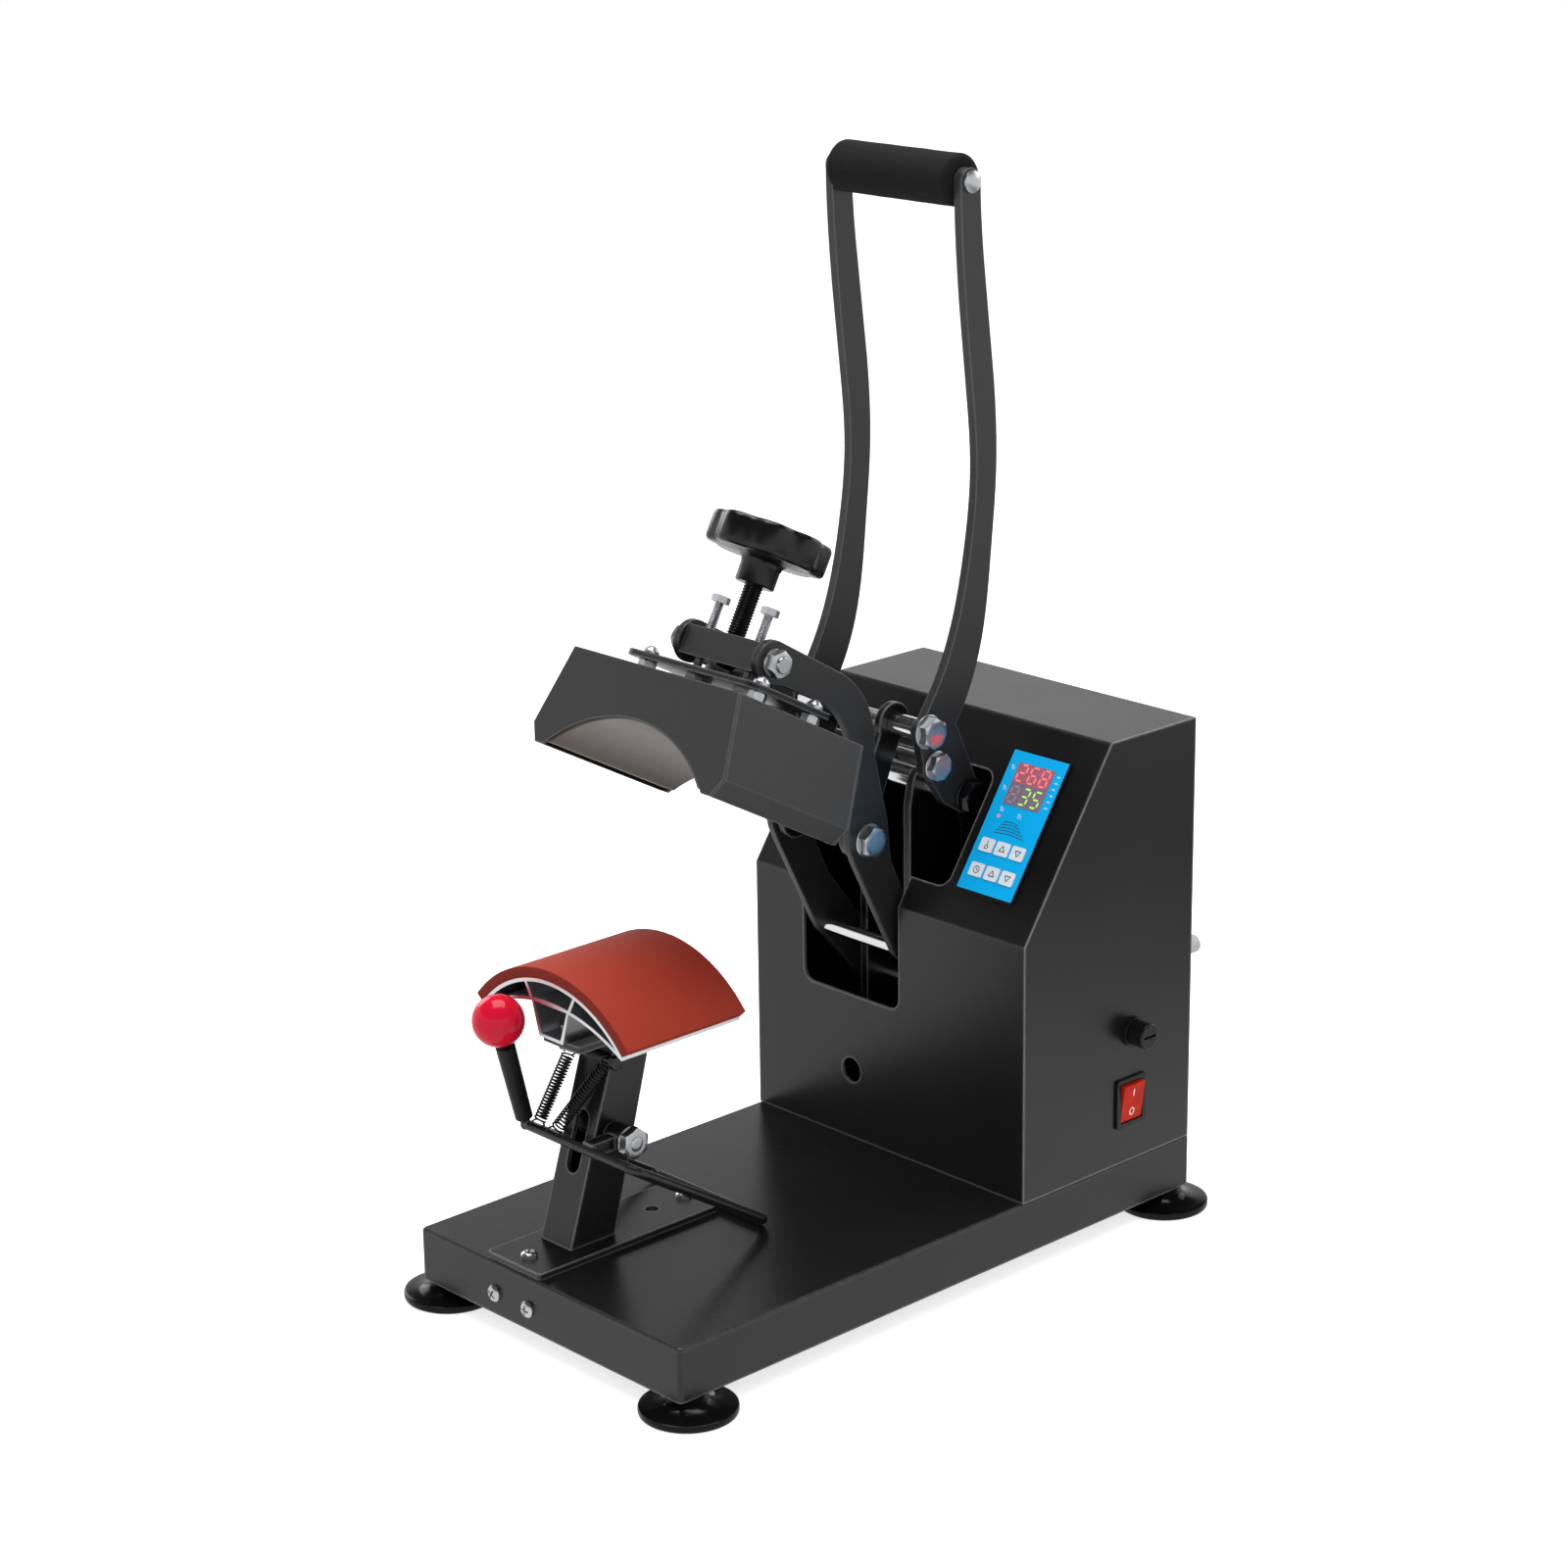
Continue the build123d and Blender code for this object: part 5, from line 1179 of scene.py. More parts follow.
@dataclass
class Assembly:
    """A sub-assembly that makes and dresses its own pieces."""

    dresser: Dresser

    def grow(
        self, kind: Repeat, name: str, spots: list[Spot], sizes: dict[str, float], finish: str = "zinc",
        angle: float = 30.0,
    ) -> Piece:
        """Grows a repeated shape on its spots and keeps it as a plain mesh.

        Args:
            kind: which shape.
            name: the piece's name.
            spots: where the copies stand.
            sizes: the tree's sizes, in mm, and counts, by name.
            finish: their finish.
            angle: edges sharper than this many degrees stay sharp.

        Returns:
            The piece, not yet on a body.
        """
        tree, worn = tree_of(kind), self.dresser.wardrobe.get(finish)
        base = mesh_from(name, [spot.at for spot in spots], [])
        facing = base.attributes.new(SPOT_FACING, "FLOAT_VECTOR", "POINT")
        facing.data.foreach_set("vector", [part for spot in spots for part in spot.facing.normalized()])
        turn = base.attributes.new(SPOT_TURN, "FLOAT", "POINT")
        turn.data.foreach_set("value", [spot.turn for spot in spots])
        piece = add_object(name, base)
        modifier = piece.modifiers.new(kind.value, "NODES")
        modifier.node_group = tree
        names = {item.name: item.identifier for item in tree.interface.items_tree if item.in_out == "INPUT"}
        modifier[names["Finish"]] = worn
        for label, value in sizes.items():
            modifier[names[label]] = value if label in RECIPES[kind].counts else value * MM
        settle(piece)
        wear(piece, worn)
        soften(piece.data, angle)
        return piece

    def hexes(self, name: str, spots: list[Spot], size: Hex, finish: str = "zinc") -> Piece:
        """Hexagon heads or nuts of one size, not yet on a body."""
        return self.grow(Repeat.HEX_HEAD, name, spots, {
            "Flats": size.flats, "Height": size.height, "Washer Radius": size.collar, "Washer Thickness": size.thick,
            "End Radius": size.end_radius, "End Height": size.end_height, "Sides": size.sides,
        }, finish)

    def pins(
        self, name: str, spots: list[Spot], radius: float, length: float, dome: float = 0.0, sides: int = 48,
        finish: str = "zinc",
    ) -> Piece:
        """Plain round pins of one size, not yet on a body."""
        sizes = {"Radius": radius, "Length": length, "Dome": dome, "Sides": sides}
        return self.grow(Repeat.PLAIN_PIN, name, spots, sizes, finish)

    def fasten(self, name: str, pieces: list[Piece], body: str, *replaces: str, slot: str = "zinc") -> None:
        """Joins fasteners into one piece and dresses it."""
        self.dresser.dress(merged(name, pieces), body, slot, replaces=replaces)


@dataclass
class Plates(Assembly):
    """The cut, folded and extruded pieces, whose edges are rounded a little, in mm."""

    roundings: dict[str, float] = field(default_factory=lambda: {
        "base_shell": 1.3, "base_stiffener": 0.3, "stand_plate": 0.5, "stand_post": 0.9, "stand_top_plate": 0.4,
        "lower_platen": 0.25, "console_shell": 1.3, "rear_cover": 0.35, "pivot_plates": 0.5, "arm_plates": 0.6,
        "crossbar": 0.6, "cover_shell": 0.8, "cover_end_plates": 0.35, "mounting_plate": 0.5, "handle_bars": 0.7,
        "link_plates": 0.5, "heating_block": 0.4, "rocker_frame": 0.25, "fuse_holder": 0.4, "fuse_cap": 0.4,
        "controller_housing": 0.25, "cable_gland": 0.4, "relay_block": 0.4, "thrust_collar": 0.4,
    })
    textured: tuple[str, ...] = ("arm_plates", "handle_bars", "cover_shell", "cover_end_plates", "crossbar")
    # The near-black sheet of painted shade behind the rear vents, in mm.
    backing_half: float = 78.0
    backing_heights: Pair = (194.0, 264.0)
    backing_depths: Pair = (-1.8, -0.8)

    def build(self) -> None:
        """Rounds, places and dresses every plate."""
        for node, width in self.roundings.items():
            body = frame["nodes"][node]["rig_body"]
            plugged = tuple(COVER.at(x, along, 0) for x, along in STANDOFFS) if node == "heating_block" else ()
            finish = "bar_coat" if node in self.textured else None
            self.dresser.dress(rounded_copy(node, width, plugged), body, SLOTS[node], finish, (node,))
        self.vent_shade_backing()

    def vent_shade_backing(self) -> None:
        """Lays a near-black sheet behind the rear vents as painted shade of the console's dark inside."""
        inner = min(corner.co.y for corner in frame["nodes"]["rear_cover"].data.vertices) / MM
        half, (low, high) = self.backing_half, self.backing_heights
        corners = ((-half, low), (half, low), (half, high), (-half, high))
        backing = Shape().skin([[metres((x, inner + deep, z)) for x, z in corners] for deep in self.backing_depths])
        self.dresser.dress(backing.piece("vent_shade_backing"), "frame", SLOTS["rear_cover"], "painted_vent_shade")


@dataclass(frozen=True)
class CrossPin:
    """A pin across the linkage with a washer and a hexagon at each end, in mm and radians."""

    name: str
    body: str
    point: Pair
    radius: float
    half: float
    flats: float
    collar: float
    turn: float
    replaces: tuple[str, ...] = ()
    head: float = HEAD_HEIGHT
    finish: str = "zinc"


@dataclass
class Linkage(Assembly):
    """The pivots, their bolts and a dab of marking paint."""

    bar_outer: float = 56.0
    arm_outer: float = 36.0
    ear_along: float = 52.0
    ear_height: float = 26.5
    shank_sunk: float = 0.8
    cross_pins: tuple[CrossPin, ...] = (
        CrossPin(
            "handle_pivot", "frame", HANDLE_PIVOT, 5, 56.3, 17, 10.5, 0.9, ("handle_shaft",), finish="black_oxide",
        ),
        CrossPin("arm_pivot", "frame", ARM_PIVOT, 6, 36.3, 19, 11.5, 0.3, ("arm_shaft",)),
        CrossPin("crank_bolt", "handle", CRANK_PIVOT, 5, 56, 17, 10.5, 0.55, ("handle_bolts",)),
        CrossPin("cross_bolt", "handle", CROSS_PIVOT, 5.5, 56, 15, 9, 0.1, head=5.5),
    )

    def build(self) -> None:
        """Builds every pivot."""
        for pin in self.cross_pins:
            size = Hex(pin.flats, pin.head, pin.collar, WASHER, pin.radius)
            heads = self.hexes(pin.name + "_heads", side_spots(pin.point, pin.half, pin.turn), size, pin.finish)
            start = [Spot(metres((MECH_X - pin.half, *pin.point)), RIGHT)]
            bar = self.pins(pin.name + "_pin", start, pin.radius, 2 * pin.half, finish=pin.finish)
            self.fasten(pin.name, [heads, bar], pin.body, *pin.replaces)
        self.arm_bolts()
        self.paint_dab()

    def arm_bolts(self) -> None:
        """Builds the bolts of the ear and of the lower link pivot."""
        ear = COVER.at(0, self.ear_along, self.ear_height) / MM
        pieces = []
        for name, point, turn, inner, size in (
            ("ear", (ear.y, ear.z), 0.2, 26.0, Hex(14.5, HEAD_HEIGHT, 8.4, end_height=1.8)),
            ("elbow", LINK_PIVOT, 0.7, 31.0, Hex(17, HEAD_HEIGHT, 10.5)),
        ):
            pieces.append(self.hexes(name, side_spots(point, self.arm_outer, turn), size))
            spots = [Spot(metres((MECH_X + side * inner, *point)), RIGHT * side) for side in (1, -1)]
            pieces.append(self.pins(name + "_shank", spots, 5, self.arm_outer - inner + self.shank_sunk))
        self.fasten("arm_pivot_bolts", pieces, "arm", "arm_bolts")

    def paint_dab(self) -> None:
        """Brushes a dab of marking paint over the lower half of the crank bolt's right head."""
        rings, sides, lift, rim_lift, drop = 5, 28, 0.12, 0.01, 3.2
        x = MECH_X + self.bar_outer + WASHER + HEAD_HEIGHT
        y, z = CRANK_PIVOT
        dab = Shape([metres((x + lift, y, z - 3.0))], [(0, 1 + side, 1 + (side + 1) % sides) for side in range(sides)])
        for ring in range(1, rings + 1):
            for turn in around(sides):
                reach = ring / rings * (4.6 + 0.5 * math.sin(3 * turn) + 0.35 * math.sin(5 * turn + 1))
                dab.points.append(metres((
                    x + (lift if ring < rings else rim_lift), y + reach * math.cos(turn) * 1.15,
                    z - drop + reach * math.sin(turn) * 0.75,
                )))
            if ring > 1:
                dab.band(1 + (ring - 1) * sides, 1 + (ring - 2) * sides, sides)
        self.dresser.dress(dab.piece("paint_dab", 60), "handle", "zinc", "pink_paint")


@dataclass
class PressureScrew(Assembly):
    """The threaded rod, its star knob, and the guide bolts beside it, in mm."""

    along: float = 52.0
    start: float = 11.3
    knob_low: float = 83.0
    knob_height: float = 19.5
    knob_r: float = 36.5
    lobes: int = 8
    lobe_depth: float = 3.4
    hub_low: float = 67.0
    hub_r: float = 12.0
    guide_x: float = 21.0
    guide_along: float = 51.0
    guide_foot: float = 7.0
    guide_length: float = 45.0
    guide_sunk: float = 0.2

    def build(self) -> None:
        """Builds the screw, the knob and the guide bolts."""
        foot = Spot(COVER.at(0, self.along, self.start), COVER_UP)
        screw = self.grow(Repeat.THREAD, "threaded_rod", [foot], {
            "Radius": 6, "Length": 86.7, "Pitch": 1.75, "Ridge": 1.0, "Rings": 396, "Sides": 40,
        }, "black_oxide", 60)
        self.dresser.dress(screw, "screw", "black_oxide", replaces=("pressure_screw",))
        self.dresser.dress(self.knob(), "screw", "knob_plastic", replaces=("star_knob",))
        self.guides()

    def knob(self) -> Piece:
        """Builds the lobed knob as rings from its hub to its dished top, each with its share of the lobes.

        Returns:
            The piece, not yet on a body.
        """
        low, high, edge, hub = self.knob_low, self.knob_low + self.knob_height, self.knob_r, self.hub_r
        profile = [
            (7.0, self.hub_low, 0.0), (hub - 0.8, self.hub_low, 0.0), (hub, self.hub_low + 0.8, 0.0),
            (hub, low - 5, 0.0), (hub + 0.8, low - 2, 0.0), (hub + 3, low - 0.3, 0.1), (edge - 5, low + 0.2, 0.8),
            (edge - 1.6, low + 0.7, 1.0), (edge - 0.4, low + 1.9, 1.0), (edge, low + 4, 1.0), (edge, high - 3.4, 1.0),
            (edge - 0.4, high - 1.8, 1.0), (edge - 1.3, high - 0.7, 1.0), (edge - 2.8, high - 0.15, 1.0),
            (edge - 7, high, 0.9), (edge - 10, high, 0.5), (edge - 14, high - 0.2, 0.2), (edge - 17, high - 0.9, 0.0),
            (edge - 19, high - 1.1, 0.0), (10.0, high - 1.1, 0.0), (4.0, high - 1.1, 0.0),
        ]
        axis = Axis(COVER.at(0, self.along, 0), COVER_UP, RIGHT)
        dips = [(turn, self.lobe_depth * (0.5 - 0.5 * math.cos(self.lobes * turn)) ** 1.6) for turn in around(160)]
        return Shape().skin([
            [axis.point(turn, radius - share * dip, height) for turn, dip in dips] for radius, height, share in profile
        ]).piece("knob", 42)

    def guides(self) -> None:
        """Builds the two long guide bolts with their heads up."""
        def spots(height: float, way: Vector, turn: float = 0.0) -> list[Spot]:
            """Both bolts' spots at a height over the platen."""
            return [Spot(COVER.at(x, self.guide_along, height), way, turn) for x in (-self.guide_x, self.guide_x)]

        foot, top = self.guide_foot, self.guide_foot + self.guide_length
        rods = self.grow(Repeat.THREAD, "guide_threads", spots(foot, COVER_UP), {
            "Radius": 3, "Length": self.guide_length + self.guide_sunk, "Pitch": 1.0, "Ridge": 0.5, "Rings": 360,
            "Sides": 20,
        }, angle=60)
        heads = self.hexes("guide_heads", spots(top, COVER_UP, 0.4), small_hex(4.4, 0.1))
        nuts = self.hexes("guide_nuts", spots(foot, -COVER_UP, 0.1), small_hex(3.9, 0.1))
        self.fasten("guide_screws", [rods, heads, nuts], "platen", "guide_bolts")


@dataclass
class UpperPlaten(Assembly):
    """The standoffs with their dome nuts on the heated platen, in mm."""

    plate_top: float = 11.0
    block_r: float = 97.0
    block_centre: float = 120.9
    stem_sunk: float = 5.0
    stem_over: float = 3.0

    def build(self) -> None:
        """Builds the standoffs and the dome nuts."""
        def spots(height: float, turn: float = 0.0) -> list[Spot]:
            """The four standoffs' spots at a height over the platen."""
            return [Spot(COVER.at(x, along, height), COVER_UP, turn) for x, along in STANDOFFS]

        pieces = []
        for number, (x, along) in enumerate(STANDOFFS):
            surface = math.sqrt(self.block_r**2 - x**2) - self.block_centre
            low, high = surface - self.stem_sunk, self.plate_top + self.stem_over
            foot = Spot(COVER.at(x, along, low), COVER_UP)
            pieces.append(self.pins(f"stem_{number}", [foot], 3, high - low, sides=24))
        pieces.append(self.hexes("standoff_hexes", spots(0.02, 0.5), small_hex(6.9)))
        pieces.append(self.pins("dome_nuts", spots(self.plate_top), 5, 5.5, 3.4, 36))
        self.fasten("standoffs", pieces, "platen", "standoff_bolts")


@dataclass
class Handle(Assembly):
    """The foam grip and the screws at its ends, in mm."""

    grip_r: float = 15.5
    bore_r: float = 6.0
    half: float = 49.0
    rim: float = 3.0

    def build(self) -> None:
        """Builds the grip and its end screws."""
        self.dresser.dress(self.grip(), "handle", "foam", replaces=("foam_grip",))
        rod = self.pins("grip_bar", [Spot(metres((MECH_X - 50, *GRIP_PIVOT)), RIGHT)], 6, 100)
        heads = self.pins("grip_screws", side_spots(GRIP_PIVOT, 56.0), 6.5, 3.6, 1.8)
        necks = self.pins("grip_necks", side_spots(GRIP_PIVOT, 50.0), 4, 6.2)
        self.fasten("grip_rod_screws", [rod, heads, necks], "handle", "grip_rod")

    def grip(self) -> Piece:
        """Builds the foam sleeve, a little uneven and pinched at its rims.

        Returns:
            The piece, not yet on a body.
        """
        noise = random.Random(11)
        waves = [(noise.uniform(40, 160), noise.uniform(0, 6.3), noise.randint(1, 4)) for _ in range(7)]
        sides, steps, unevenness = 72, 110, 0.05
        profile = [(self.bore_r, -self.half)]
        for step in range(steps + 1):
            x = -self.half + 2 * self.half * step / steps
            rim = max(0.0, 1 - (self.half - abs(x)) / self.rim)
            profile.append((self.grip_r - self.rim * (1 - math.sqrt(max(0.0, 1 - rim * rim))), x))
        profile.append((self.bore_r, self.half))
        axis = Axis(metres((MECH_X, *GRIP_PIVOT)), RIGHT, BACK)
        rings = []
        for radius, x in profile:
            ring = []
            for turn in around(sides):
                uneven = sum(math.sin(x / 1000 * rate + phase + count * turn) for rate, phase, count in waves)
                reach = radius - (unevenness * abs(uneven) if radius > self.bore_r + 2 else 0.0)
                ring.append(axis.point(turn, reach, x))
            rings.append(ring)
        return Shape().skin(rings, capped=False).piece("grip", 50)


@dataclass
class Stand(Assembly):
    """The lower platen's pad and the hold-down lever with its springs, in mm."""

    platen_front: float = -177.0
    length: float = 90.0
    centre_z: float = 130.6
    inner_r: float = 81.3
    outer_r: float = 87.9
    half_angle: float = 49.6
    ball: Point = (-61.5, -190.5, 183.9)
    ball_r: float = 15.5
    stub_foot: Point = (-67.3, -168.5, 111.5)
    lever_pivot: Pair = (-143.0, 112.0)
    spring_pin: Pair = (-147.0, 160.0)

    def build(self) -> None:
        """Builds the pad, the knob, the springs and the bolts."""
        pad = self.dresser.dress(self.pad(), "frame", "silicone", replaces=("platen_pad",))
        self.dresser.dress(self.knob(), "lever", "ball_plastic", replaces=("ball_knob",))
        self.springs()
        self.bolts()

    def pad(self) -> Piece:
        """Builds the sponge rubber pad as a bent slab with soft, slightly ragged edges.

        Returns:
            The piece, not yet on a body.
        """
        noise = random.Random(5)
        arc, layers, along, edge, near_edge, ragged = 72, 6, 60, 0.45, 0.12, 0.06
        half, thick = math.radians(self.half_angle), self.outer_r - self.inner_r
        section = [(self.outer_r, -half + 2 * half * step / arc) for step in range(arc + 1)]
        section += [(self.outer_r - thick * step / layers, half) for step in range(1, layers)]
        section += [(self.inner_r, half - 2 * half * step / arc) for step in range(arc + 1)]
        section += [(self.inner_r + thick * step / layers, -half) for step in range(1, layers)]
        insets = {0.0: 0.35, self.length: 0.35, near_edge: 0.12, self.length - near_edge: 0.12}
        stations = [0.0, near_edge, edge]
        stations += [edge + (self.length - 2 * edge) * step / along for step in range(1, along)]
        stations += [self.length - edge, self.length - near_edge, self.length]
        pad, count = Shape(), len(section)
        axis = Axis(metres((MECH_X, self.platen_front, self.centre_z)), BACK, UP)
        for station in stations:
            inset = insets.get(station, 0.0)
            for radius, turn in section:
                on_side = abs(abs(turn) - half) < 1e-6
                pull = inset * (1 if radius < (self.outer_r + self.inner_r) / 2 else -1)
                swing = turn - math.copysign(inset, turn) / self.outer_r if on_side else turn
                rag = noise.uniform(-ragged, ragged) if on_side or inset else 0.0
                reach = radius + pull + (rag if radius > self.inner_r + 0.1 else 0.0)
                pad.points.append(axis.point(swing, reach, station))
        last = (len(stations) - 1) * count
        for start in range(0, last, count):
            pad.band(start, start + count, count)
        inner = 2 * arc + layers
        for base in (0, last):
            for step in range(arc):
                pad.faces.append((base + step, base + step + 1, base + inner - 1 - step, base + inner - step))
            pad.faces.append(tuple(base + arc + step for step in range(layers + 1)))
            pad.faces.append((*(base + inner + step for step in range(layers)), base))
        return pad.piece("silicone_pad", 40, weld=0.001)

    def knob(self) -> Piece:
        """Builds the ball with its small flat round the lever.

        Returns:
            The piece, not yet on a body.
        """
        centre, bore_r, bore_depth = metres(self.ball), 3.1, 4.0
        up = (centre - metres(self.stub_foot)).normalized()
        flat, steps, sides = math.radians(26), 56, 80
        foot = -self.ball_r * math.cos(flat)
        profile = [(bore_r, foot + bore_depth), (bore_r, foot)]
        for step in range(steps + 1):
            turn = flat + (math.pi - flat - 0.01) * step / steps
            profile.append((self.ball_r * math.sin(turn), -self.ball_r * math.cos(turn)))
        rings = Axis(centre, up, up.orthogonal().normalized()).rings(profile, sides)
        return Shape().skin(rings).piece("ball", 40)

    def springs(self) -> None:
        """Winds the two springs from the lever's front rod up to the pin."""
        inset = 2.2
        foot_y, foot_z = self.lever_pivot[0] - 25.5, self.lever_pivot[1] - 0.5
        for number, (side, low_x, high_x) in enumerate((("left", -58.0, -49.0), ("right", -44.0, -16.0))):
            foot = metres((low_x, foot_y, foot_z))
            head = metres((high_x, *self.spring_pin))
            line = head - foot
            start = foot - line.normalized() * (inset * MM)
            spring = self.grow(Repeat.COIL, f"lever_spring_{side}", [Spot(start, line, 0.6)], {
                "Radius": 3.5, "Wire Radius": 0.62, "Length": line.length / MM + 2 * inset, "Hook": 8.0,
                "Turns": 22, "Steps": 26,
            }, "spring_steel", 80)
            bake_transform(spring)
            if number == 0:
                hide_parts("lever_springs")
            log.info("%s stretches from the lever to the frame", spring.name)

    def bolts(self) -> None:
        """Builds the lever's pivot bolt and the nuts of the spring pin."""
        right, left, overrun = -4.4, -46.0, 6.5
        heads = self.hexes("lever_bolt_heads", [
            Spot(metres((right, *self.lever_pivot)), RIGHT, 0.35), Spot(metres((left, *self.lever_pivot)), -RIGHT, 0.2),
        ], Hex(17, 5.6, 9.3, 0.9, 4.6, 0.6))
        start = [Spot(metres((left - overrun, *self.lever_pivot)), RIGHT)]
        shank = self.pins("lever_bolt_shank", start, 5, right - left + overrun)
        self.fasten("lever_bolt", [heads, shank], "frame", "lever_pivot_bolt")
        post_x, reach, oxide = -32.5, 20.5, "black_oxide"
        ends = side_spots(self.spring_pin, reach, 0.2, post_x)
        nuts = self.hexes("pin_nuts", ends, Hex(8, 3.9, 3.9, 0.05, 2.5, 0.2, 48), oxide)
        start = [Spot(metres((post_x - reach, *self.spring_pin)), RIGHT)]
        pin = self.pins("pin_bar", start, 2.5, 2 * reach, sides=32, finish=oxide)
        self.fasten("spring_pin_nuts", [nuts, pin], "frame", "spring_pin", slot=oxide)


@dataclass
class SmallScrews(Assembly):
    """The pan-head screws and foot bolts of the base and the console, in mm."""

    front_y: float = -213.0
    front_z: float = 25.5
    front_half: float = 15.0
    plate_ys: Pair = (-198.8, -79.5)
    plate_top: float = 49.0
    console_x: float = 107.0
    flange_ys: Pair = (86.5, 186.0)
    flange: float = 2.0
    back_y: float = 212.5
    back_low: float = 20.0
    back_pitch: float = 115.7
    pivot_half: float = 32.0
    pivot_ys: Pair = (102.0, 127.0)

    def build(self) -> None:
        """Builds the pan heads and the pivot plates' foot bolts."""
        both = (-1, 1)
        seats = [
            Spot(metres((MECH_X + side * self.front_half, self.front_y, self.front_z)), -BACK, 0.4 + side)
            for side in both
        ]
        seats += [Spot(metres((MECH_X, y, self.plate_top)), UP, 0.7 + step) for step, y in enumerate(self.plate_ys)]
        seats += [
            Spot(metres((side * self.console_x, y, BASE_TOP + self.flange)), UP, 0.2)
            for side in both for y in self.flange_ys
        ]
        low = BASE_TOP + self.back_low
        seats += [
            Spot(metres((side * self.console_x, self.back_y, low + row * self.back_pitch)), BACK, 0.5 * row + side)
            for side in both for row in range(3)
        ]
        pieces = [self.grow(Repeat.PAN_HEAD, "pan_heads", seats, {})]
        lengths = [9.5] * 2 + [11.0] * 2 + [9.0] * 4 + [7.5] * 6
        for number, (seat, length) in enumerate(zip(seats, lengths)):
            pieces.append(self.pins(f"shank_{number}", [Spot(seat.at, -seat.facing)], 2.5, length, sides=20))
        self.fasten("pan_screw_heads", pieces, "frame", "pan_screws")
        self.foot_bolts()

    def foot_bolts(self) -> None:
        """Builds the four bolts that hold the pivot plates down, with their nuts."""
        def spots(height: float, way: Vector, turn: float = 0.0) -> list[Spot]:
            """The four bolts' spots at a height over the base."""
            places = [(MECH_X + side * self.pivot_half, y) for side in (-1, 1) for y in self.pivot_ys]
            return [Spot(metres((*place, BASE_TOP + height)), way, turn) for place in places]

        heads = self.hexes("foot_bolts", spots(5, UP, 0.3), small_hex(3.95))
        nuts = self.hexes("foot_nuts", spots(-2, -UP), small_hex(4.95, end_radius=3, end_height=1))
        legs = self.pins("foot_shanks", spots(5, -UP), 3, 12, sides=24)
        self.fasten("pivot_foot_bolts", [heads, nuts, legs], "frame", "pivot_bolts")


@dataclass
class Feet(Assembly):
    """The four moulded rubber feet, in mm."""

    places: tuple[Pair, ...] = ((-105.5, -199), (-105.5, 199), (105.5, -199), (105.5, 199))
    profile: tuple[Pair, ...] = (
        (4.05, 6.5), (9.0, 6.5), (9.3, 6.2), (9.3, 0.4), (9.8, 0.0), (27.3, 0.0), (28.1, 0.5), (28.5, 1.3),
        (28.5, 3.5), (28.1, 4.4), (27.2, 4.75), (24.5, 5.0), (20.5, 5.5), (16.5, 6.6), (13.6, 8.3), (12.0, 10.2),
        (11.3, 11.6), (10.9, 12.0), (4.05, 12.0),
    )
    sides: int = 96

    def build(self) -> None:
        """Turns the four feet."""
        feet = Shape()
        for x, y in self.places:
            feet.skin(Axis(metres((x, y, 0)), UP, RIGHT).rings(self.profile, self.sides), capped=False)
        piece = feet.piece("rubber_feet_turned", 35)
        self.dresser.dress(piece, "frame", "foot_rubber", replaces=("rubber_feet",))


# ---------------------------------------------------------------- printed marks
PRINT_SUNK = -0.02
SEGMENTS = {"2": "abged", "3": "abgcd", "5": "afgcd", "6": "afgedc", "8": "abcdefg", " ": ""}


class Sheet(Shape):
    """Thin flat shapes that lie on the panel, drawn in mm from its middle and up its slope."""

    def slab(self, corners: list[Pair], out: float, thick: float) -> None:
        """Adds a flat shape.

        Args:
            corners: its outline, anticlockwise.
            out: the surface that it lies on, in mm above the sheet metal.
            thick: its thickness, in mm.
        """
        self.skin([[PANEL.at(x, up, level) for x, up in corners] for level in (out + PRINT_SUNK, out + thick)])

    def stroke(self, route: list[Pair], width: float, out: float, thick: float = 0.03) -> None:
        """Adds a printed line as short flat bars, one for each leg of its route.

        Args:
            route: the line's points.
            width: its width, in mm.
            out: the surface that it lies on, in mm above the sheet metal.
            thick: its thickness, in mm.
        """
        for (ax, au), (bx, bu) in zip(route, route[1:]):
            length = math.hypot(bx - ax, bu - au) or 1.0
            nx, nu = -(bu - au) / length * width / 2, (bx - ax) / length * width / 2
            ex, eu = (bx - ax) / length * width * 0.2, (bu - au) / length * width * 0.2
            self.slab([
                (ax - nx - ex, au - nu - eu), (bx - nx + ex, bu - nu + eu),
                (bx + nx + ex, bu + nu + eu), (ax + nx - ex, au + nu - eu),
            ], out, thick)


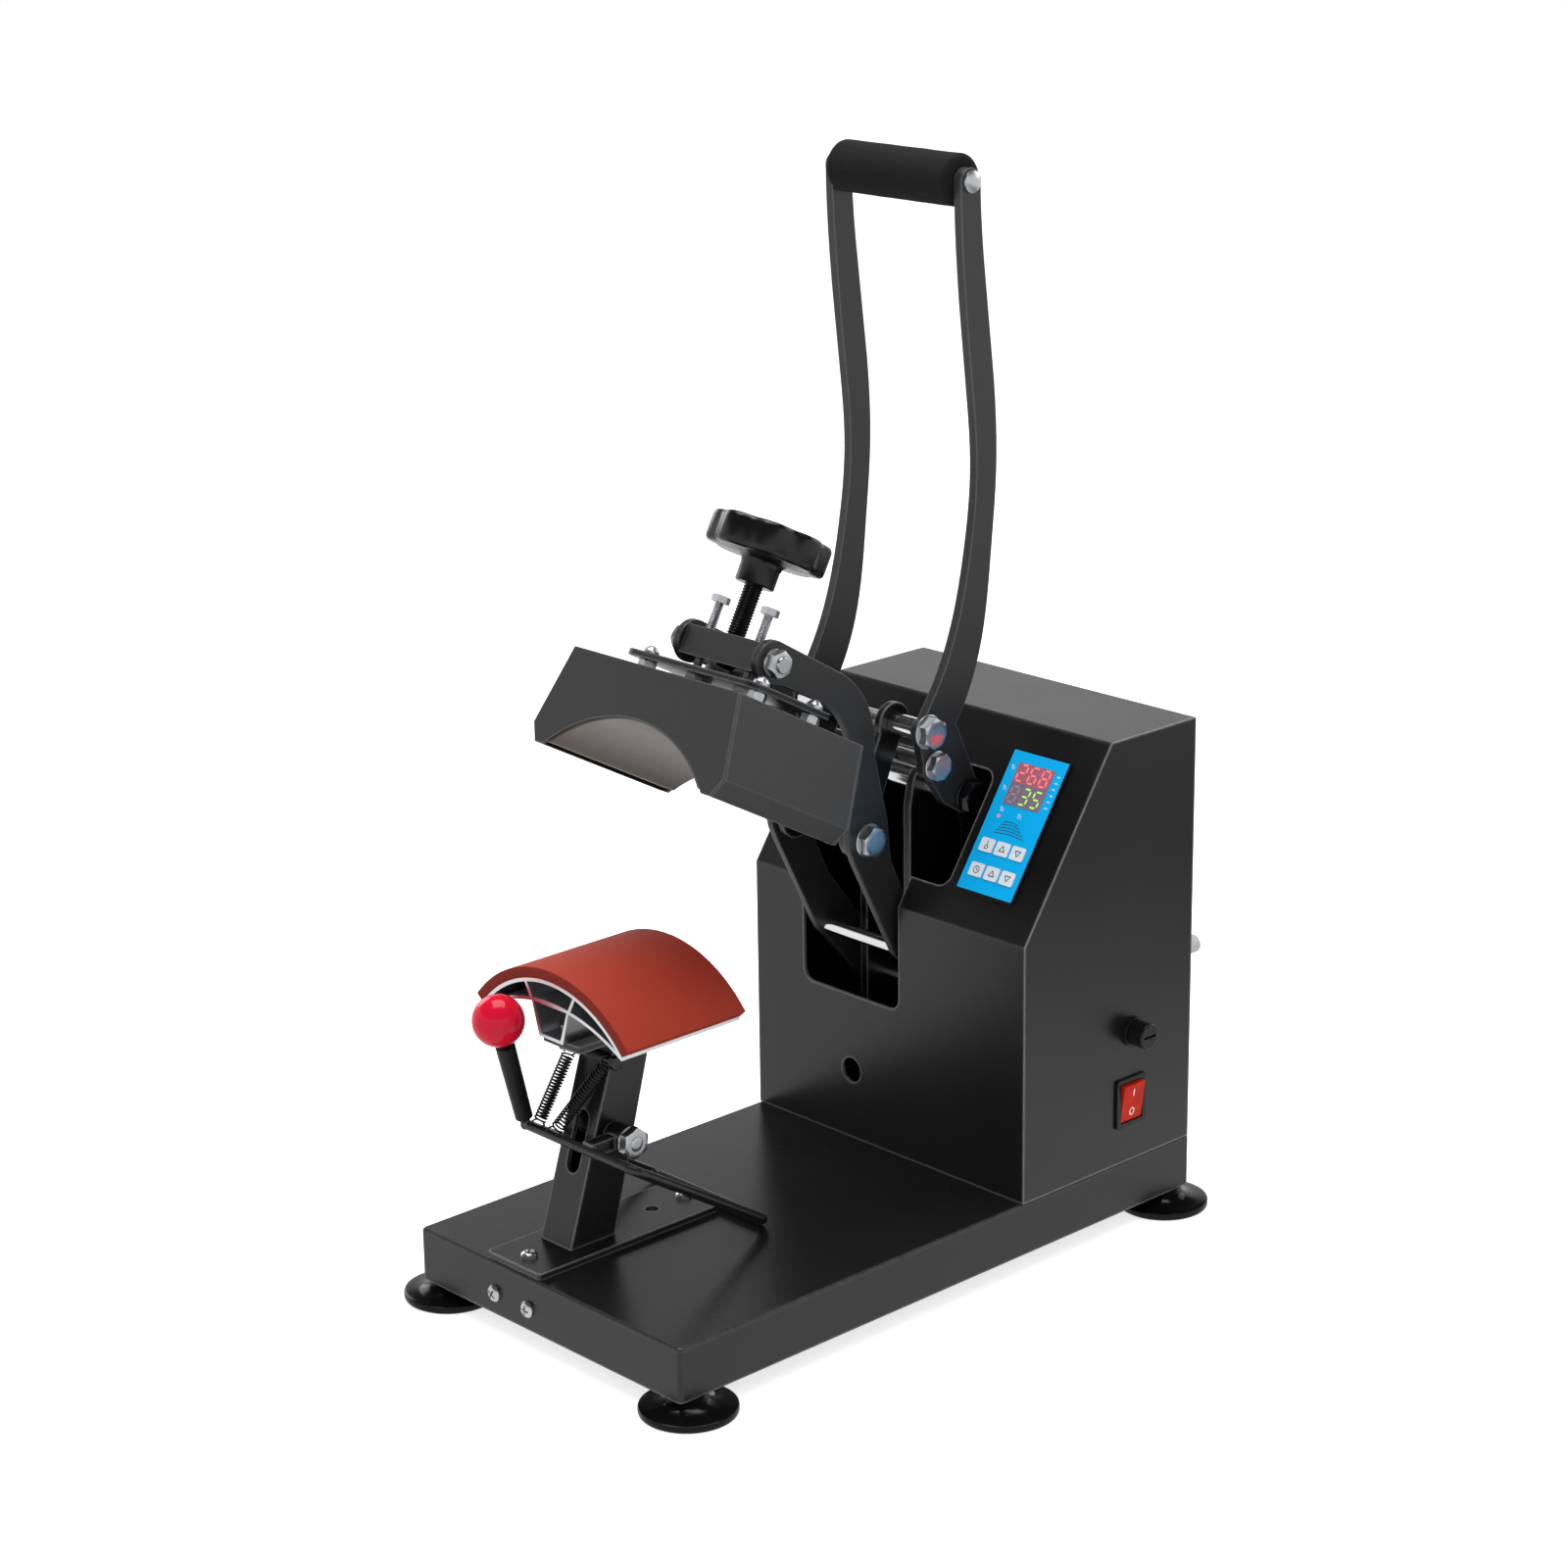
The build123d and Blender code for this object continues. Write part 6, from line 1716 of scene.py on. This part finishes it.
@dataclass
class ControlPanel(Assembly):
    """The display's digits, the printed marks and the symbols on the keys, in mm."""

    film_out: float = 2.0
    window_out: float = 2.2
    key_out: float = 2.5
    digit_left: float = -12.6
    digit_width: float = 5.5
    digit_pitch: float = 9.1
    digit_slant: float = 0.10
    key_pitch: float = 12.4

    def lay(self, sheet: Sheet, name: str, finish: str, slot: str, body: str = "frame") -> None:
        """Makes the piece of what was drawn and dresses it."""
        self.dresser.dress(sheet.piece(name), body, slot, finish)

    def build(self) -> None:
        """Draws the digits, the marks and the key symbols."""
        # A red glowing slab over the upper digits paints their light on the window.
        glow_slab = Sheet()
        glow_slab.slab([(-14, 93.4), (14, 93.4), (14, 105.6), (-14, 105.6)], self.window_out, 0.02)
        self.lay(glow_slab, "display_digit_glow", "window_digit_glow", "lens")
        self.digits("digits_upper", "268", "digit_red", 94.6, 10.2)
        self.digits("digits_lower", " 35", "digit_green", 81.0, 10.0)
        self.digits("digit_unlit", "8", "ghost", 81.0, 10.0)
        self.marks()
        self.keys()

    def digits(self, name: str, text: str, finish: str, low: float, height: float) -> None:
        """Draws seven-segment digits on the window.

        Args:
            name: the piece's name.
            text: the digits, with a blank for an empty place.
            finish: the glowing finish.
            low: their lower edge up the slope, in mm.
            height: a digit's height, in mm.
        """
        width, half, bar = self.digit_width, height / 2, self.digit_width * 0.2
        gap = bar * 0.62
        ends = {
            "a": ((0, height), (width, height)), "d": ((0, 0), (width, 0)), "g": ((0, half), (width, half)),
            "f": ((0, half), (0, height)), "b": ((width, half), (width, height)),
            "e": ((0, 0), (0, half)), "c": ((width, 0), (width, half)),
        }
        sheet = Sheet()
        for place, digit in enumerate(text):
            left = self.digit_left + place * self.digit_pitch
            for segment in SEGMENTS[digit]:
                (ax, au), (bx, bu) = ends[segment]
                length = math.hypot(bx - ax, bu - au)
                dx, du = (bx - ax) / length, (bu - au) / length
                near, far = gap + bar / 2, length - gap - bar / 2
                corners = []
                for along, aside in (
                    (gap, 0), (near, -bar / 2), (far, -bar / 2), (length - gap, 0), (far, bar / 2), (near, bar / 2),
                ):
                    x, up = ax + dx * along - du * aside, au + du * along + dx * aside
                    corners.append((left + x + up * self.digit_slant, low + up))
                sheet.slab(corners, self.window_out, 0.05)
        self.lay(sheet, name, finish, "lens")

    def marks(self) -> None:
        """Prints the small marks, the fan of thin lines and the lamp on the film."""
        pale, dark, lamp = Sheet(), Sheet(), Sheet()
        for x, up in ((-18.2, 101.5), (-18.2, 88.0), (-13.5, 75.0), (1.5, 73.6)):
            for route in (
                [(x - 1.0, up + 1.5), (x + 0.7, up + 1.5)],
                [(x - 0.2, up + 1.5), (x - 0.2, up - 1.0)],
                [(x + 1.4, up + 0.9), (x + 1.4, up - 1.0)],
            ):
                pale.stroke(route, 0.4, self.film_out)
        for up in range(103, 82, -4):
            pale.stroke([(17.4, up), (19.2, up)], 0.7, self.film_out)
        steps = 12
        for row in range(5):
            reach = 24.5 - 3.2 * row
            dark.stroke([
                (1.1 * row - 12.2 + reach * step / steps, 60.6 + row * 1.9 + 0.9 * math.sin(math.pi * step / steps))
                for step in range(steps + 1)
            ], 0.5, self.film_out)
        lamp_r = 1.1
        circle = [(lamp_r * math.cos(turn) - 13.4, 70.9 + lamp_r * math.sin(turn)) for turn in around(16)]
        lamp.slab(circle, self.film_out, 0.05)
        self.lay(pale, "panel_marks", "mark_white", "film_blue")
        self.lay(dark, "panel_lines", "mark_dark", "film_blue")
        self.lay(lamp, "panel_lamp", "digit_red", "film_blue")

    def keys(self) -> None:
        """Prints a plain symbol on each key: a bulb, a clock and arrows."""
        rows = ((52.0, "temp", 1.4, 1.1), (36.0, "time", 0.0, 2.1))
        for up, name, drop, reach in rows:
            x, symbol = -self.key_pitch, Sheet()
            circle = [*around(24), 2 * math.pi]
            ring = [(x + reach * math.cos(turn), up - drop + reach * math.sin(turn)) for turn in circle]
            symbol.stroke(ring, 0.55, self.key_out)
            clock = [(x, up + 1.3), (x, up), (x + 1.1, up - 0.5)]
            symbol.stroke([(x, up - 0.3), (x, up + 2.6)] if name == "temp" else clock, 0.6, self.key_out)
            key = name + "_key"
            self.lay(symbol, key + "_symbol", "mark_dark", "key_white", key)
            for x, key, tip in ((0.0, name + "_up_key", 1.5), (self.key_pitch, name + "_down_key", -1.5)):
                symbol = Sheet()
                arrow = [(x - 2.1, up - tip), (x, up + tip * 1.3), (x + 2.1, up - tip), (x - 2.1, up - tip)]
                symbol.stroke(arrow, 0.6, self.key_out)
                self.lay(symbol, key + "_symbol", "mark_dark", "key_white", key)


@dataclass
class RockerMarks(Assembly):
    """The line and the ring printed on the rocker, in mm."""

    pivot: Point = (114.0, 156.0, 84.4)
    half: float = 12.0
    foot_out: float = 2.2
    middle_out: float = 3.6
    top_out: float = 5.4

    def at(self, across: float, up: float, lift: float) -> Vector:
        """A point on or over the rocker's two slopes.

        Args:
            across: row y from the pivot.
            up: height from the pivot.
            lift: height over the surface.

        Returns:
            The point in the row frame, in metres.
        """
        rise = self.middle_out - self.foot_out if up < 0 else self.top_out - self.middle_out
        out = self.middle_out + rise * up / self.half + lift
        return metres((self.pivot[0] + out, self.pivot[1] + across, self.pivot[2] + up))

    def build(self) -> None:
        """Prints both marks as flat bands between two ovals."""
        proud, marks = 0.05, Shape()
        for up, steps, outer, inner in ((-6.4, 28, (2.6, 0.85), (1.8, 0.8)), (6.4, 16, (2.6, 0.22), (0.6, 0.2))):
            marks.skin([
                [self.at(wide * squash * math.cos(turn), up + wide * math.sin(turn), lift) for turn in around(steps)]
                for (wide, squash), lift in ((outer, PRINT_SUNK), (inner, PRINT_SUNK), (inner, proud), (outer, proud))
            ], capped=False)
        self.dresser.dress(marks.piece("rocker_marks"), "rocker", "black_plastic", "mark_white")


# ---------------------------------------------------------------- studio
WHITE = (1.0, 1.0, 1.0, 1.0)


def glowing(graph: Graph, kind: str, strength: object) -> object:
    """A white light shader of the given kind and strength."""
    return graph.add(kind, {"Color": WHITE, "Strength": strength}).outputs[0]


def by_ray(graph: Graph, end: str, seen: object, mirrored: object, plain: object) -> None:
    """Ends a tree with a shader for each kind of ray.

    Args:
        graph: the tree's graph.
        end: the kind of its output node.
        seen: what the camera sees.
        mirrored: what reflections show.
        plain: what lights the machine.
    """
    path = graph.add("ShaderNodeLightPath").outputs
    shiny = graph.add("ShaderNodeMixShader", {0: path["Is Glossy Ray"], 1: plain, 2: mirrored})
    direct = graph.math("MAXIMUM", path["Is Camera Ray"], path["Is Transmission Ray"])
    pick = graph.add("ShaderNodeMixShader", {0: direct, 1: shiny.outputs[0], 2: seen})
    graph.add(end, {"Surface": pick.outputs[0]})


def split(graph: Graph, output: str) -> list[Num]:
    """The x, y and z of one of the texture coordinates."""
    node = graph.add("ShaderNodeSeparateXYZ", {0: graph.add("ShaderNodeTexCoord").outputs[output]})
    return [Num(graph, socket) for socket in node.outputs]


def emptied(owner: object) -> Graph:
    """Clears the node tree of a material or world and gives its graph.

    Args:
        owner: the material or world.

    Returns:
        The empty tree's graph.
    """
    owner.use_nodes = True
    owner.node_tree.nodes.clear()
    return Graph(owner.node_tree)


@dataclass
class Studio:
    """The floor, the lamps, the surroundings and the camera."""

    lens_pixels: float = 3711.78
    frame_pixels: float = 1600.0
    camera_at: Point = (1476.15, -1400.63, 937.33)
    heading: float = 46.94
    down: float = 17.47
    roll: float = 0.82
    floor_half: float = 6.0
    floor_drop: float = 0.0002
    lamp_rows: tuple[tuple, ...] = (
        ("overhead", (-0.3, 0.2, 2.6), (0.0, 0.0, 0.3), 1.8, 62.0),
        ("left", (-2.6, 0.2, 1.2), (0.0, -0.1, 0.3), 1.2, 14.0),
        ("behind", (0.6, 2.8, 1.6), (0.0, 0.1, 0.4), 1.5, 14.0),
    )

    def build(self) -> None:
        """Builds the whole studio."""
        self.floor()
        self.surroundings()
        self.lamps()
        self.camera()
        bpy.context.scene.view_settings.view_transform = "Standard"

    def floor(self) -> None:
        """Lays a pale floor that shows white and keeps the machine's shadow."""
        half = self.floor_half
        corners = ((-half, -half), (half, -half), (half, half), (-half, half))
        mesh = mesh_from("floor", [Vector((*corner, -self.floor_drop)) for corner in corners], [(0, 1, 2, 3)])
        made = bpy.data.materials.new("pale floor")
        graph = emptied(made)
        diffuse = graph.add("ShaderNodeBsdfDiffuse", {"Color": (0.82, 0.82, 0.82, 1)}).outputs[0]
        seen = graph.add("ShaderNodeAddShader", {0: diffuse, 1: glowing(graph, "ShaderNodeEmission", 0.72)})
        x, y, _ = split(graph, "Object")
        away = x * 0.5 + y
        level = graph.ramp(away, (0.42, 1.2), (1.0, 0.16)) + graph.ramp(away, (1.25, 1.75), (0.0, 0.8))
        mirrored = glowing(graph, "ShaderNodeEmission", level)
        by_ray(graph, "ShaderNodeOutputMaterial", seen.outputs[0], mirrored, diffuse)
        mesh.materials.append(made)
        add_object("floor", mesh)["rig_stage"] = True

    def surroundings(self) -> None:
        """Shows white to the camera and in reflections, and gives a plain even light."""
        world = bpy.data.worlds.new("surroundings")
        bpy.context.scene.world = world
        graph = emptied(world)
        falloff = graph.ramp(split(graph, "Generated")[2], (0.385, 0.47), (1.0, 0.03))
        seen, mirrored, even = (glowing(graph, "ShaderNodeBackground", level) for level in (1.0, falloff, 0.62))
        by_ray(graph, "ShaderNodeOutputWorld", seen, mirrored, even)

    def lamps(self) -> None:
        """Hangs the soft lamps."""
        for name, at, to, size, power in self.lamp_rows:
            light = bpy.data.lights.new(name, "AREA")
            light.energy, light.size = power, size
            lamp = add_object(name, light)
            lamp.location = at
            lamp.rotation_euler = (Vector(to) - Vector(at)).to_track_quat("-Z", "Y").to_euler()

    def camera(self) -> None:
        """Sets the camera."""
        data = bpy.data.cameras.new("camera")
        data.sensor_fit, data.sensor_width = "HORIZONTAL", 36.0
        data.lens = self.lens_pixels / self.frame_pixels * data.sensor_width
        data.clip_end = 30.0
        camera = add_object("camera", data)
        turn, tip = math.radians(self.heading), math.radians(self.down)
        forward = Vector((-math.sin(turn) * math.cos(tip), math.cos(turn) * math.cos(tip), -math.sin(tip)))
        side = forward.cross(UP).normalized()
        roll = Matrix.Rotation(math.radians(self.roll), 3, forward)
        axes = (roll @ side, roll @ side.cross(forward), -forward)
        rows = zip(*axes, metres(self.camera_at))
        camera.matrix_world = Matrix((*rows, (0, 0, 0, 1)))
        bpy.context.scene.camera = camera


def dress_the_rest(dresser: Dresser) -> None:
    """Gives every node that is still shown the finish of its slot."""
    for name, node in frame["nodes"].items():
        wear(node, dresser.wardrobe.get(SLOTS[name]))


def write_sizes(visual: object) -> None:
    """Defines a helper that turns a box into plain lists of numbers; it writes nothing."""
    def plain(box: object) -> list[list[float]]:
        """Turns a box into lists."""
        return [[float(part) for part in corner] for corner in box]


def main() -> None:
    """Builds and dresses the press in the order of its sub-assemblies."""
    logging.basicConfig(level=logging.INFO, format="%(name)s: %(message)s")
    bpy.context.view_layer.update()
    dresser = Dresser(Wardrobe())
    Studio().build()
    for part in (
        Plates, Linkage, PressureScrew, UpperPlaten, Handle, Stand, SmallScrews, Feet, ControlPanel, RockerMarks,
    ):
        part(dresser).build()
    dress_the_rest(dresser)
    log.info("%d pieces dressed", dresser.count)
    write_sizes(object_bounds())


if __name__ == "__main__":
    main()
